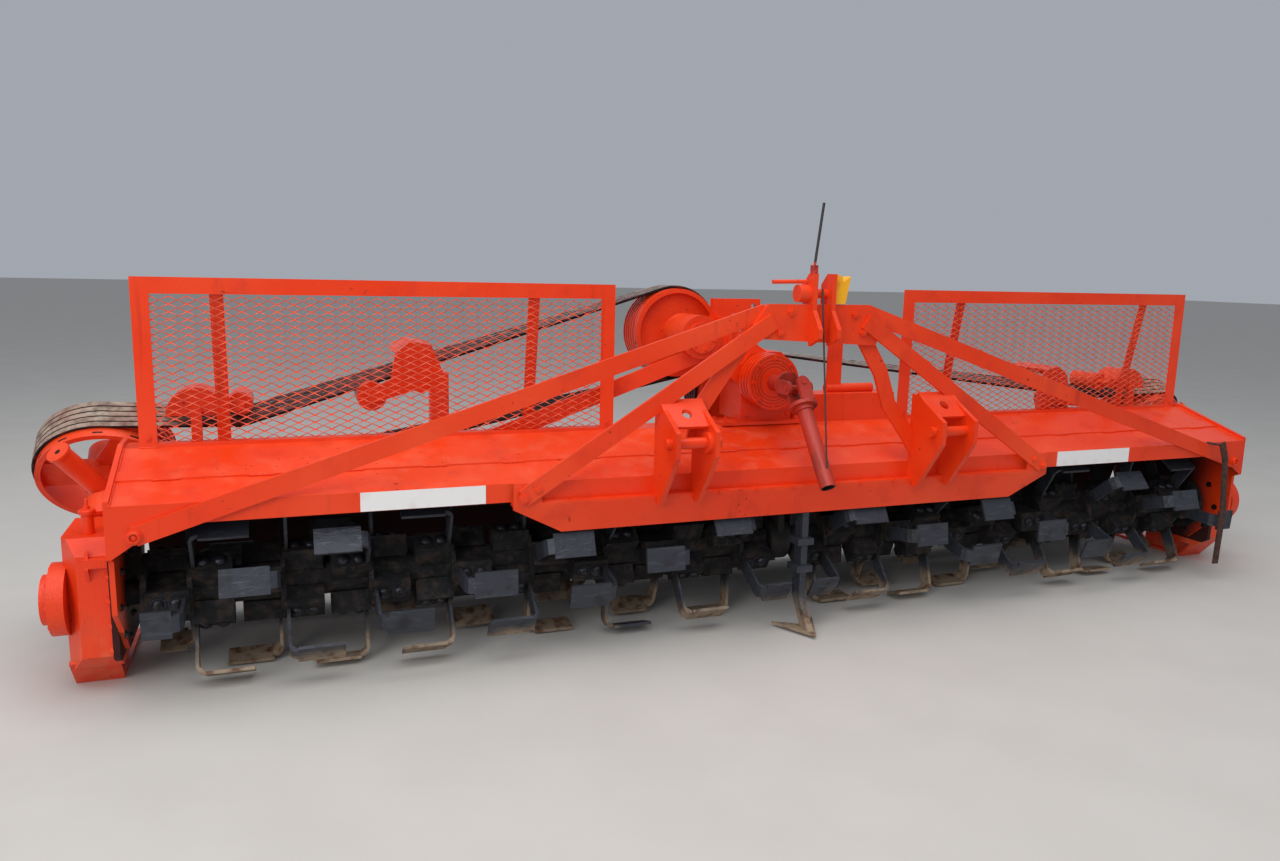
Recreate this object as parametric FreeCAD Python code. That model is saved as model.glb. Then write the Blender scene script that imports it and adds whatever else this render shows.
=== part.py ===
import FreeCAD
import Part
import math
import os

# A three-point mounted rotary tiller, 14 ft across, with two rotor halves that
# are driven from their outer ends by belts running along the machine's back.
# Lengths are millimetres. While it is drawn, X runs to the machine's left-hand
# end in the negative direction, Y runs from the hitch (negative) to the tail
# board, with 0 at the mesh guards, and Z is height above the ground. The
# finished pieces are moved so that the origin is on the ground under the
# middle of the machine's box.

# Hood
HOOD_HALF = 2178.0
SHEET = 8.0
LAP_Y = -200.0
LAP_WIDE = 55.0
LAP_THICK = 5.0
RIDGE_Z = 700.0
RIDGE_BACK_Y = 110.0
APRON_Y = -330.0
APRON_TOP_Z = 600.0
APRON_LOW_Z = 540.0
REAR_WALL_LOW_Y = 285.0
REAR_WALL_LOW_Z = 400.0

# End plates
END_PLATE = 14.0
END_MARGIN = 14.0
END_FRONT_Y = -300.0
END_LOW_Z = 112.0
END_FRONT_LOW_Z = 280.0
END_CHAMFER_Y = -119.0
GUSSET_LONG = 130.0
GUSSET_HIGH = 90.0
END_BACK_Y = 250.0

# Tail board
TAIL_PIN_R = 10.0
TAIL_PIN_Y = REAR_WALL_LOW_Y + 26.0
TAIL_PIN_Z = REAR_WALL_LOW_Z - 26.0
TAIL_LUG = 26.0
TAIL_LOW_Z = 60.0
TAIL_SLANT = 70.0
TAIL_TOE = 60.0
TAIL_TOE_HIGH = 40.0
TAIL_SIDE_GAP = 12.0

# Rotor
ROTOR_Y = -100.0
ROTOR_Z = 280.0
ROTOR_R = 270.0
ROTOR_TUBE_R = 57.0
ROTOR_STUB_R = 38.0
ROTOR_END_GAP = 46.0
ROTOR_END_DISC_R = 115.0
ROTOR_END_DISC = 16.0
CENTRE_GAP = 92.0
CENTRE_AIR = 8.0
BLADE_STATIONS = 8
BLADES_PER_STATION = 6
BLADE_FOOT = 165.0
BLADE_THICK = 10.0
BLADE_WIDE = 82.0
BLADE_SHANK_WIDE = 50.0
BLADE_BEND_R = 28.0
BLADE_ROOT_R = 70.0
CARRIER_R = 105.0
CARRIER_THICK = 14.0
CLAMP_LONG = 112.0
CLAMP_WIDE = 76.0
CLAMP_IN_R = 50.0
CLAMP_OUT_R = 118.0
HELIX_STEP_DEG = 22.0

# Centre bearing hanger, shank and sweep
HANGER_THICK = 24.0
HANGER_WIDE = 150.0
BEARING_R = 82.0
BEARING_AIR = 6.0
RUN_FIT = 0.05
SEAT = 0.3
SHANK_Y = -322.0
SHANK_WIDE_Y = 50.0
SHANK_THICK_X = 25.0
SHANK_LOW_Z = 120.0
CLAMP_HALF_X = 32.0
CLAMP_HIGH = 24.0
CLAMP_ZS = (330.0, 230.0)
SWEEP_HALF = 85.0
SWEEP_LONG = 170.0
SWEEP_LOW_Z = 10.0
SWEEP_THICK = 10.0
SWEEP_TIP_Y = -455.0
SWEEP_FOOT_Y = -395.0

# End drive: gearcase, tilted shaft housing and sheave
DRIVE_TILT_DEG = 36.0
DRIVE_LONG = 466.0
DRIVE_OUT = 92.0
SHEAVE_R = 203.0
SHEAVE_LIP = 28.0
SHEAVE_BAND = 120.0
SHEAVE_RIM_THICK = 10.0
SHEAVE_WEB_THICK = 16.0
SHEAVE_HUB_R = 62.0
SHEAVE_HUB_LONG = 90.0
SPOKES = 3
SPOKE_WIDE = 105.0
SPOKE_RIB = 40.0
GROOVES = 5
GROOVE_DEEP = 7.0
HOUSING_R = 38.0
HOUSING_FLANGE_R = 52.0
HOUSING_BELOW = 40.0
STUB_R = 32.0
STUB_CAP = (HOOD_HALF + DRIVE_OUT + 104.0, 120.0, 678.0)
STUB_CAP_R = 36.0
STUB_CAP_LONG = 10.0
STUB_FOOT = 60.0
CASE_BORE_LONG = 60.0
SHEAVE_SHAFT_R = 19.0
SHEAVE_SHAFT_LONG = 70.0
CASE_DEEP = 145.0
CASE_FRONT_Y = -190.0
CASE_BACK_Y = 150.0
CASE_TOP_Z = 470.0
CASE_LOW_Z = 75.0
CASE_CHAMFER = 45.0
CASE_FLANGE = 18.0
HUB_RING_R = 108.0
HUB_RING_LONG = 34.0
HUB_CAP_R = 74.0
HUB_CAP_LONG = 24.0
BREATHER_R = 17.0
BREATHER_Y = -95.0
BREATHER_HIGH = 62.0
CASE_LUG_LONG = 60.0
SKID_THICK = 12.0
SKID_WIDE = 132.0
SKID_BACK_Y = 330.0
SKID_FLAT_Y = -70.0
SKID_NOSE_Y = -150.0
SKID_NOSE_Z = 62.0

# Middle drive: gearbox, its two sheaves and the input shaft
MID_SHEAVE_Y = 250.0
MID_R = 172.0
UPPER_X = -262.0
UPPER_Z = 1030.0
LOWER_X = 20.0
LOWER_Z = 780.0
MID_HUB_R = 50.0
GEARBOX_BOSS_R = 40.0
GEARBOX_HALF = 110.0
UPPER_BOSS_R = 80.0
UPPER_CAP_R = 58.0
UPPER_CAP = 16.0
FLANGE_AT = 112.0
FLANGE_THICK = 14.0
REAR_ARM_Y = 150.0
REAR_ARM_Z = UPPER_Z + 110.0
REAR_ARM_DEEP = 58.0
BASE_HALF = 200.0
BASE_RIGHT_X = 590.0
BASE_TOP_Z = 808.0
BASE_TUBE_R = 18.0
BASE_PLATE = 12.0
BASE_BEAM_X = 136.0
POST_X = (302.0, 365.0)
POST_Y = (44.0, 56.0)
POST_TOP_Z = 1100.0
GEARBOX_FRONT_Y = 20.0
GEARBOX_BACK_Y = 205.0
INPUT_Z = 868.0
CLUTCH_R = 105.0
CLUTCH_CORE_R = 92.0
CLUTCH_DISCS = 4
CLUTCH_DISC = 14.0
CLUTCH_Y = -70.0
YOKE_Y = -245.0
FORK_AT = 41.0
FORK_EAR = 14.0
FORK_EYE_R = 24.0
FORK_LONG = 66.0
FORK_BASE = 14.0
FORK_BASE_R = 50.0
CROSS_R = 11.0
YOKE_SHAFT_R = 30.0
COLLAR_R = 34.0
COLLAR_LONG = 95.0
PTO_TUBE_R = 27.5
PTO_WALL = 5.0
PTO_END_Y = -478.0
PTO_END_Z = 555.0
WIRE_R = 3.0

# Belts
BELT_THICK = 11.0
BELT_AIR = 1.0
BELT_SIDE = 2.0
KINK_X = HOOD_HALF - 328.0
KINK_Z = 752.0

# Idlers: a post, a casting and a wheel inside the loop; a cover and a roller outside it
ROLLER_R = 38.0
ROLLER_AIR = 5.0
WHEEL_R = 50.0
WHEEL_OUT = 160.0
WHEEL_AIR = 5.0
LEFT_IDLER_X = KINK_X - 580.0
RIGHT_IDLER_X = KINK_X - 350.0
COVER_X = HOOD_HALF - 198.0
COVER_R = 90.0
COVER_DEEP = 125.0
COVER_WALL = 6.0
IDLER_PLATE_Y = 100.0
IDLER_PLATE = 14.0

# Mesh guards
GUARD_IN_X = 610.0
GUARD_OUT_X = HOOD_HALF - 44.0
GUARD_TOP_Z = 1217.0
GUARD_BAR = 50.0
GUARD_BAR_THICK = 6.0
MESH_THICK = 3.0
MESH_LONG = 101.6
MESH_HIGH = 46.8
MESH_STRAND = 7.0
STAY_XS = (GUARD_IN_X + 290.0, GUARD_OUT_X - 234.0)
STAY_WIDE = 40.0
STAY_THICK = 6.0
STAY_TOP_Z = 1190.0

# Front beam and hitch
HITCH_HALF = 505.0
BEAM_HALF_TOP = HITCH_HALF + 556.0
BEAM_HALF_LOW = BEAM_HALF_TOP - 162.0
BEAM_Y = -362.0
BEAM_LOW_Y = -345.0
BEAM_TOP_Z = 531.0
BEAM_LOW_Z = 436.0
BEAM_THICK = 12.0
HITCH_PIN_Z = 730.0
HITCH_PIN_Y = -470.0
HITCH_PIN_R = 18.3
HITCH_GAP = 120.0
HITCH_PLATE = 16.0
HITCH_COVER = 10.0
HITCH_SLOT_R = 16.0
HITCH_BUSH_R = 34.0
MAST_Y = -370.0
MAST_FRONT_Y = MAST_Y - 22.0
MAST_DEEP = 74.0
MAST_GAP = 56.0
MAST_PLATE = 16.0
TOP_PIN_Y = MAST_FRONT_Y + 38.0
TOP_PIN_Z = 1205.0
TOP_PIN_R = 16.0
TOP_PIN_BOSS_R = 30.0
TOP_PIN_BOSS = 42.0
MAST_TOP_Z = TOP_PIN_Z + 67.0
HANDLE_R = 7.0
HANDLE_LONG = 95.0
STUD_R = 13.0
MARKER_R = 4.5
MARKER_TOP_Z = TOP_PIN_Z + 300.0
HOLDER_LONG = 66.0
HOLDER_HIGH = 100.0
WING_THICK = 16.0
WING_TOP_Z = 1169.0
WING_LOW_Z = 1028.0
WING_HALF = HITCH_HALF - 255.0
BRACE_DEEP = 56.0
BRACE_THICK = 12.0
LONG_BRACE_TOP_X = WING_HALF - 50.0
LONG_BRACE_X = HOOD_HALF - 59.0
LONG_BRACE_Z = 514.0
INNER_BRACE_TOP_X = WING_HALF - 70.0
INNER_BRACE_X = BEAM_HALF_TOP - 31.0
INNER_BRACE_Z = 560.0

# Loose bar and blank plates
HANG_X = HOOD_HALF - 193.0
HANG_WIDE = 28.0
HANG_THICK = 8.0
PLATE_X = BEAM_HALF_TOP + 81.0
PLATE_LONG = 376.0
PLATE_HIGH = 58.0
PLATE_THICK = 2.0


def vec(x, y, z):
    return FreeCAD.Vector(x, y, z)


def box(x0, x1, y0, y1, z0, z1):
    return Part.makeBox(x1 - x0, y1 - y0, z1 - z0, vec(x0, y0, z0))


def rod(start, end, radius):
    run = end.sub(start)
    return Part.makeCylinder(radius, run.Length, start, run)


def ring(start, end, outer, inner):
    return rod(start, end, outer).cut(rod(start, end, inner))


def prism_x(outline, x0, x1):
    """A solid between two X planes from (y, z) corners."""
    corners = [vec(x0, y, z) for y, z in outline]
    face = Part.Face(Part.makePolygon(corners + corners[:1]))
    return face.extrude(vec(x1 - x0, 0, 0))


def prism_y(outline, y0, y1):
    """A solid between two Y planes from (x, z) corners."""
    corners = [vec(x, y0, z) for x, z in outline]
    face = Part.Face(Part.makePolygon(corners + corners[:1]))
    return face.extrude(vec(0, y1 - y0, 0))


def strip(line, thick):
    """The outline of a bent sheet: a line of corners, and the same line set to its right."""
    offset = []
    for at in range(len(line)):
        before = line[max(at - 1, 0)]
        after = line[min(at + 1, len(line) - 1)]
        here = line[at]
        normals = []
        for a, b in ((before, here), (here, after)):
            run = math.hypot(b[0] - a[0], b[1] - a[1])
            if run > 0:
                normals.append(((b[1] - a[1]) / run, (a[0] - b[0]) / run))
        nx = sum(n[0] for n in normals) / len(normals)
        ny = sum(n[1] for n in normals) / len(normals)
        size = nx * nx + ny * ny
        offset.append((here[0] + thick * nx / size, here[1] + thick * ny / size))
    return line + offset[::-1]


def along(centre, direction, distance):
    return centre.add(vec(direction.x, direction.y, direction.z).multiply(distance))


def bar(start, end, deep, thick, side):
    """A straight flat bar whose width lies across the direction called side."""
    run = end.sub(start)
    across = run.cross(side).normalize()
    flat = across.cross(run).normalize()
    a = along(along(start, across, -deep / 2), flat, -thick / 2)
    b = along(a, across, deep)
    face = Part.Face(Part.makePolygon([a, b, along(b, flat, thick), along(a, flat, thick), a]))
    return face.extrude(run)


def largest(shape):
    return sorted(shape.Solids, key=lambda s: s.Volume)[-1]


def fuse(*solids):
    body = solids[0]
    if len(solids) > 1:
        body = body.multiFuse(list(solids[1:]))
    return body.removeSplitter()


def mirror_x(shape):
    return shape.mirror(vec(0, 0, 0), vec(1, 0, 0))


parts = {}

# Hood: the deck is one bent sheet, the rear wall another that hangs below it
deck_line = [
    (APRON_Y, APRON_LOW_Z),
    (APRON_Y, APRON_TOP_Z),
    (0.0, RIDGE_Z),
    (RIDGE_BACK_Y, RIDGE_Z),
]
deck = prism_x(strip(deck_line, SHEET), -HOOD_HALF, HOOD_HALF)


def deck_top_z(y):
    return APRON_TOP_Z + (RIDGE_Z - APRON_TOP_Z) * (y - APRON_Y) / (0.0 - APRON_Y)


lap_back = LAP_Y + LAP_WIDE
lap = prism_x(
    [
        (LAP_Y, deck_top_z(LAP_Y) - 1),
        (LAP_Y, deck_top_z(LAP_Y) + LAP_THICK),
        (lap_back, deck_top_z(lap_back) + LAP_THICK),
        (lap_back, deck_top_z(lap_back) - 1),
    ],
    -HOOD_HALF,
    HOOD_HALF,
)
parts["deck"] = fuse(deck, lap)
wall_line = [
    (RIDGE_BACK_Y, RIDGE_Z - SHEET),
    (REAR_WALL_LOW_Y, REAR_WALL_LOW_Z),
]
parts["rear_wall"] = prism_x(strip(wall_line, SHEET), -HOOD_HALF, HOOD_HALF)

# End plates, outside the hood's sheets, with the tail board's pin holes
end_outline = [
    (APRON_Y, APRON_TOP_Z + END_MARGIN),
    (APRON_Y, APRON_LOW_Z - GUSSET_HIGH),
    (END_FRONT_Y, APRON_LOW_Z - GUSSET_HIGH - END_MARGIN),
    (END_FRONT_Y, END_FRONT_LOW_Z),
    (END_FRONT_Y + 65, END_FRONT_LOW_Z - 57),
    (END_CHAMFER_Y, END_LOW_Z),
    (END_BACK_Y, END_LOW_Z),
    (TAIL_PIN_Y + TAIL_LUG, TAIL_PIN_Z - TAIL_LUG),
    (TAIL_PIN_Y + TAIL_LUG, TAIL_PIN_Z + TAIL_LUG),
    (RIDGE_BACK_Y + END_MARGIN, RIDGE_Z + END_MARGIN),
    (0.0, RIDGE_Z + END_MARGIN),
]
plate = prism_x(end_outline, HOOD_HALF, HOOD_HALF + END_PLATE)
shaft_hole = rod(
    vec(HOOD_HALF - 1, ROTOR_Y, ROTOR_Z),
    vec(HOOD_HALF + END_PLATE + 1, ROTOR_Y, ROTOR_Z),
    ROTOR_STUB_R + 6,
)
pin_hole = rod(
    vec(HOOD_HALF - 1, TAIL_PIN_Y, TAIL_PIN_Z),
    vec(HOOD_HALF + END_PLATE + 1, TAIL_PIN_Y, TAIL_PIN_Z),
    TAIL_PIN_R + RUN_FIT,
)
plate = plate.cut(shaft_hole).cut(pin_hole)
gusset = prism_y(
    [
        (HOOD_HALF + 1, APRON_LOW_Z - GUSSET_HIGH),
        (HOOD_HALF - GUSSET_LONG, APRON_LOW_Z),
        (HOOD_HALF + 1, APRON_LOW_Z),
    ],
    APRON_Y,
    APRON_Y + SHEET,
)
plate = fuse(plate, gusset)
parts["end_plate_right"] = plate
parts["end_plate_left"] = mirror_x(plate)

# Tail board, hung behind the rear wall on a long hinge pin
tail_half = HOOD_HALF - TAIL_SIDE_GAP
tail_line = [
    (TAIL_PIN_Y, TAIL_PIN_Z),
    (TAIL_PIN_Y + TAIL_SLANT, TAIL_LOW_Z + TAIL_TOE_HIGH),
    (TAIL_PIN_Y + TAIL_SLANT + TAIL_TOE, TAIL_LOW_Z),
]
tail = prism_x(strip(tail_line, -SHEET), -tail_half, tail_half)
pin_half = HOOD_HALF + END_PLATE - 1
tail_eye = rod(vec(-pin_half, TAIL_PIN_Y, TAIL_PIN_Z), vec(pin_half, TAIL_PIN_Y, TAIL_PIN_Z), TAIL_PIN_R)
parts["tail_board"] = fuse(tail, tail_eye)


# Rotors
def rotor_half():
    """One rotor half: shaft stubs, tube, carriers and bent blades, all welded."""
    inner = CENTRE_GAP / 2
    outer = HOOD_HALF - ROTOR_END_GAP
    pieces = [rod(vec(inner, ROTOR_Y, ROTOR_Z), vec(outer, ROTOR_Y, ROTOR_Z), ROTOR_TUBE_R)]
    pieces.append(
        rod(vec(outer - ROTOR_END_DISC, ROTOR_Y, ROTOR_Z), vec(outer, ROTOR_Y, ROTOR_Z), ROTOR_END_DISC_R)
    )
    pieces.append(
        rod(
            vec(outer, ROTOR_Y, ROTOR_Z),
            vec(HOOD_HALF + END_PLATE + CASE_BORE_LONG - 5, ROTOR_Y, ROTOR_Z),
            ROTOR_STUB_R,
        )
    )
    pieces.append(rod(vec(CENTRE_AIR / 2, ROTOR_Y, ROTOR_Z), vec(inner, ROTOR_Y, ROTOR_Z), ROTOR_STUB_R))
    pitch = (outer - inner) / BLADE_STATIONS
    for station in range(BLADE_STATIONS):
        x = inner + pitch * (station + 0.5)
        carrier_x0 = x - CARRIER_THICK / 2
        carrier_x1 = x + CARRIER_THICK / 2
        pieces.append(rod(vec(carrier_x0, ROTOR_Y, ROTOR_Z), vec(carrier_x1, ROTOR_Y, ROTOR_Z), CARRIER_R))
        for blade in range(BLADES_PER_STATION):
            way = 1 if blade % 2 else -1
            foot = BLADE_FOOT
            if station == BLADE_STATIONS - 1 and way == 1:
                foot = pitch / 2 - 24
            if station == 0 and way == -1:
                foot = pitch / 2 - 6
            pieces.append(blade_at(x, way, foot, blade * 360 / BLADES_PER_STATION + station * HELIX_STEP_DEG))
    return fuse(*pieces)


def blade_at(x, way, foot, turn_deg):
    """An L blade: a shank out from the carrier, a foot along the shaft, and the block that clamps it."""
    side = CARRIER_THICK / 2 * way
    top = ROTOR_R - BLADE_THICK
    bend = BLADE_BEND_R
    outline = [
        (x + side, BLADE_ROOT_R),
        (x + side, top - bend + BLADE_THICK),
        (x + side + way * bend * 0.3, ROTOR_R - bend * 0.3),
        (x + side + way * bend, ROTOR_R),
        (x + side + way * foot, ROTOR_R),
        (x + side + way * foot, top),
        (x + side + way * (bend + BLADE_THICK * 0.4), top),
        (x + side + way * BLADE_THICK, top - bend * 0.6),
        (x + side + way * BLADE_THICK, BLADE_ROOT_R),
    ]
    foot_outline = [
        (x + side + way * bend, ROTOR_R),
        (x + side + way * foot, ROTOR_R),
        (x + side + way * foot, top),
        (x + side + way * bend, top),
    ]
    shapes = []
    for shape, wide in ((outline, BLADE_SHANK_WIDE), (foot_outline, BLADE_WIDE)):
        corners = [vec(px, ROTOR_Y - wide / 2, ROTOR_Z + r) for px, r in shape]
        face = Part.Face(Part.makePolygon(corners + corners[:1]))
        shapes.append(face.extrude(vec(0, wide, 0)))
    clamp_end = x + side + way * CLAMP_LONG
    clamp = box(
        min(x, clamp_end),
        max(x, clamp_end),
        ROTOR_Y - CLAMP_WIDE / 2,
        ROTOR_Y + CLAMP_WIDE / 2,
        ROTOR_Z + CLAMP_IN_R,
        ROTOR_Z + CLAMP_OUT_R,
    )
    blade = shapes[0].fuse(shapes[1]).fuse(clamp)
    blade.rotate(vec(0, ROTOR_Y, ROTOR_Z), vec(1, 0, 0), turn_deg)
    return blade


right_rotor = rotor_half()
parts["rotor_right"] = right_rotor
parts["rotor_left"] = mirror_x(right_rotor)

# Centre bearing hanger: a plate down from the deck with a bearing housing
hanger_top_z = RIDGE_Z - SHEET
hanger_leg = box(
    -HANGER_THICK / 2,
    HANGER_THICK / 2,
    ROTOR_Y - HANGER_WIDE / 2,
    ROTOR_Y + HANGER_WIDE / 2,
    ROTOR_Z,
    hanger_top_z,
)
under_deck = prism_x(
    [
        (APRON_Y - 50, 0.0),
        (APRON_Y - 50, APRON_TOP_Z),
        (0.0, RIDGE_Z),
        (RIDGE_BACK_Y, RIDGE_Z),
        (RIDGE_BACK_Y, 0.0),
    ],
    -HANGER_THICK,
    HANGER_THICK,
)
deck_block = prism_x(strip(deck_line, SHEET), -HANGER_THICK, HANGER_THICK)
hanger_leg = hanger_leg.common(under_deck).cut(deck_block)
bearing_half = CENTRE_GAP / 2 - BEARING_AIR
bearing = rod(vec(-bearing_half, ROTOR_Y, ROTOR_Z), vec(bearing_half, ROTOR_Y, ROTOR_Z), BEARING_R)
bearing_bore = rod(vec(-200, ROTOR_Y, ROTOR_Z), vec(200, ROTOR_Y, ROTOR_Z), ROTOR_STUB_R + RUN_FIT)
hanger = fuse(hanger_leg, bearing).cut(bearing_bore)
parts["centre_bearing_hanger"] = largest(hanger)

# Shank and sweep: they till the strip that the centre bearing leaves
shank = box(
    -SHANK_THICK_X / 2,
    SHANK_THICK_X / 2,
    SHANK_Y - SHANK_WIDE_Y / 2,
    SHANK_Y + SHANK_WIDE_Y / 2,
    SHANK_LOW_Z,
    APRON_LOW_Z - BEAM_THICK,
)
shank_room = prism_x(
    [
        (BEAM_Y + BEAM_THICK - 60, APRON_LOW_Z - BEAM_THICK),
        (BEAM_Y + BEAM_THICK, APRON_LOW_Z - BEAM_THICK),
        (BEAM_LOW_Y + BEAM_THICK, BEAM_LOW_Z),
        (BEAM_LOW_Y + BEAM_THICK - 60, BEAM_LOW_Z),
    ],
    -SHANK_THICK_X,
    SHANK_THICK_X,
)
clamps = []
for z in CLAMP_ZS:
    clamps.append(
        box(
            -CLAMP_HALF_X,
            CLAMP_HALF_X,
            SHANK_Y - SHANK_WIDE_Y / 2 - 10,
            SHANK_Y + SHANK_WIDE_Y / 2 + 10,
            z - CLAMP_HIGH / 2,
            z + CLAMP_HIGH / 2,
        )
    )
parts["shank"] = largest(fuse(shank, *clamps).cut(shank_room))
sweep_back = SWEEP_TIP_Y + SWEEP_LONG
sweep_corners = [
    vec(-SWEEP_HALF, sweep_back, SWEEP_LOW_Z),
    vec(0, SWEEP_TIP_Y, SWEEP_LOW_Z),
    vec(SWEEP_HALF, sweep_back, SWEEP_LOW_Z),
    vec(0, sweep_back - SWEEP_LONG * 0.35, SWEEP_LOW_Z),
]
sweep_face = Part.Face(Part.makePolygon(sweep_corners + sweep_corners[:1]))
sweep = sweep_face.extrude(vec(0, 0, SWEEP_THICK))
shank_front = SHANK_Y - SHANK_WIDE_Y / 2
sweep_foot = prism_x(
    [
        (SWEEP_FOOT_Y - 30, SWEEP_LOW_Z + 1),
        (shank_front, SHANK_LOW_Z),
        (shank_front + SHANK_WIDE_Y, SHANK_LOW_Z),
        (SWEEP_FOOT_Y + 25, SWEEP_LOW_Z + 1),
    ],
    -SHANK_THICK_X / 2,
    SHANK_THICK_X / 2,
)
parts["sweep"] = fuse(sweep, sweep_foot)

# Gearcases at the ends, each on a skid
flange_outline = [
    (CASE_FRONT_Y - 20, CASE_TOP_Z - CASE_CHAMFER),
    (CASE_FRONT_Y - 20, CASE_LOW_Z + CASE_CHAMFER),
    (CASE_FRONT_Y + CASE_CHAMFER, CASE_LOW_Z),
    (CASE_BACK_Y, CASE_LOW_Z),
    (CASE_BACK_Y + 20, CASE_LOW_Z + CASE_CHAMFER),
    (CASE_BACK_Y + 20, CASE_TOP_Z - CASE_CHAMFER),
    (CASE_BACK_Y - 30, CASE_TOP_Z + 10),
    (CASE_FRONT_Y + 30, CASE_TOP_Z + 10),
]
case_flange = prism_x(flange_outline, HOOD_HALF + END_PLATE, HOOD_HALF + END_PLATE + CASE_FLANGE)
case_outline = [
    (CASE_FRONT_Y, CASE_TOP_Z - CASE_CHAMFER),
    (CASE_FRONT_Y, CASE_LOW_Z + CASE_CHAMFER),
    (CASE_FRONT_Y + CASE_CHAMFER, CASE_LOW_Z),
    (CASE_BACK_Y, CASE_LOW_Z),
    (CASE_BACK_Y, CASE_TOP_Z - CASE_CHAMFER),
    (CASE_BACK_Y - CASE_CHAMFER, CASE_TOP_Z),
    (CASE_FRONT_Y + CASE_CHAMFER, CASE_TOP_Z),
]
case_body = prism_x(case_outline, HOOD_HALF + END_PLATE, HOOD_HALF + END_PLATE + CASE_DEEP)
case_out_x = HOOD_HALF + END_PLATE + CASE_DEEP
corner_wedge = Part.Face(
    Part.makePolygon(
        [
            vec(case_out_x + 1, CASE_FRONT_Y - 1, 0),
            vec(case_out_x - CASE_CHAMFER, CASE_FRONT_Y - 1, 0),
            vec(case_out_x + 1, CASE_FRONT_Y + CASE_CHAMFER * 1.6, 0),
            vec(case_out_x + 1, CASE_FRONT_Y - 1, 0),
        ]
    )
).extrude(vec(0, 0, CASE_TOP_Z + 50))
case_body = case_body.cut(corner_wedge)
hub_ring = rod(
    vec(case_out_x - 10, ROTOR_Y, ROTOR_Z), vec(case_out_x + HUB_RING_LONG, ROTOR_Y, ROTOR_Z), HUB_RING_R
)
hub_cap = rod(
    vec(case_out_x + HUB_RING_LONG - 5, ROTOR_Y, ROTOR_Z),
    vec(case_out_x + HUB_RING_LONG + HUB_CAP_LONG, ROTOR_Y, ROTOR_Z),
    HUB_CAP_R,
)
shaft_room = rod(
    vec(HOOD_HALF, ROTOR_Y, ROTOR_Z),
    vec(HOOD_HALF + END_PLATE + CASE_BORE_LONG, ROTOR_Y, ROTOR_Z),
    ROTOR_STUB_R + RUN_FIT,
)
breather = rod(
    vec(HOOD_HALF + DRIVE_OUT, BREATHER_Y, CASE_TOP_Z - 1),
    vec(HOOD_HALF + DRIVE_OUT, BREATHER_Y, CASE_TOP_Z + BREATHER_HIGH),
    BREATHER_R,
)
case_lug = box(
    HOOD_HALF + END_PLATE + CASE_FLANGE,
    HOOD_HALF + END_PLATE + CASE_FLANGE + CASE_LUG_LONG,
    CASE_FRONT_Y - 22,
    CASE_FRONT_Y + 1,
    CASE_TOP_Z - CASE_CHAMFER - 30,
    CASE_TOP_Z - CASE_CHAMFER - 4,
)
gearcase = fuse(case_flange, case_body, hub_ring, hub_cap, breather, case_lug).cut(shaft_room)
skid_x0 = HOOD_HALF + END_PLATE + 12
skid_line = [
    (SKID_NOSE_Y, SKID_NOSE_Z + 30),
    (SKID_FLAT_Y, 0.0),
    (SKID_BACK_Y, 0.0),
]
skid = prism_x(strip(skid_line, -SKID_THICK), skid_x0, skid_x0 + SKID_WIDE)
skid_post = box(
    skid_x0 + 20,
    skid_x0 + SKID_WIDE - 20,
    SKID_FLAT_Y + 30,
    CASE_BACK_Y - 10,
    SKID_THICK - 2,
    CASE_LOW_Z + 2,
)
parts["skid_right"] = fuse(skid, skid_post).cut(case_body)
parts["skid_left"] = mirror_x(parts["skid_right"])

# Tilted shaft housing from the gearcase up to the end sheave, with the stub on its head
tilt = math.radians(DRIVE_TILT_DEG)
axis = vec(0, math.cos(tilt), math.sin(tilt))
rotor_axis_point = vec(HOOD_HALF + DRIVE_OUT, ROTOR_Y, ROTOR_Z)
sheave_centre = along(rotor_axis_point, axis, DRIVE_LONG)
case_top_along = (CASE_TOP_Z - ROTOR_Z) / math.sin(tilt)
housing_start = along(rotor_axis_point, axis, case_top_along - HOUSING_BELOW)
housing_end = along(sheave_centre, axis, SHEAVE_LIP - SEAT)
housing = rod(housing_start, housing_end, HOUSING_R)
flange_start = along(rotor_axis_point, axis, case_top_along - HOUSING_BELOW)
flange_end = along(rotor_axis_point, axis, case_top_along + HOUSING_BELOW)
housing_flange = rod(flange_start, flange_end, HOUSING_FLANGE_R)
stub_foot = along(sheave_centre, axis, -STUB_FOOT)
stub_cap = vec(*STUB_CAP)
stub_way = stub_cap.sub(stub_foot).normalize()
stub = rod(stub_foot, stub_cap, STUB_R)
stub_end = rod(along(stub_cap, stub_way, -STUB_CAP_LONG), stub_cap, STUB_CAP_R)
housing = fuse(housing, housing_flange, stub, stub_end).cut(gearcase)
housing_bore_start = along(housing_end, axis, -SHEAVE_SHAFT_LONG - 5)
housing = housing.cut(rod(housing_bore_start, along(sheave_centre, axis, 200), SHEAVE_SHAFT_R + RUN_FIT))
parts["shaft_housing_right"] = largest(housing)
parts["shaft_housing_left"] = mirror_x(parts["shaft_housing_right"])
parts["gearcase_right"] = gearcase
parts["gearcase_left"] = mirror_x(gearcase)


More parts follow.
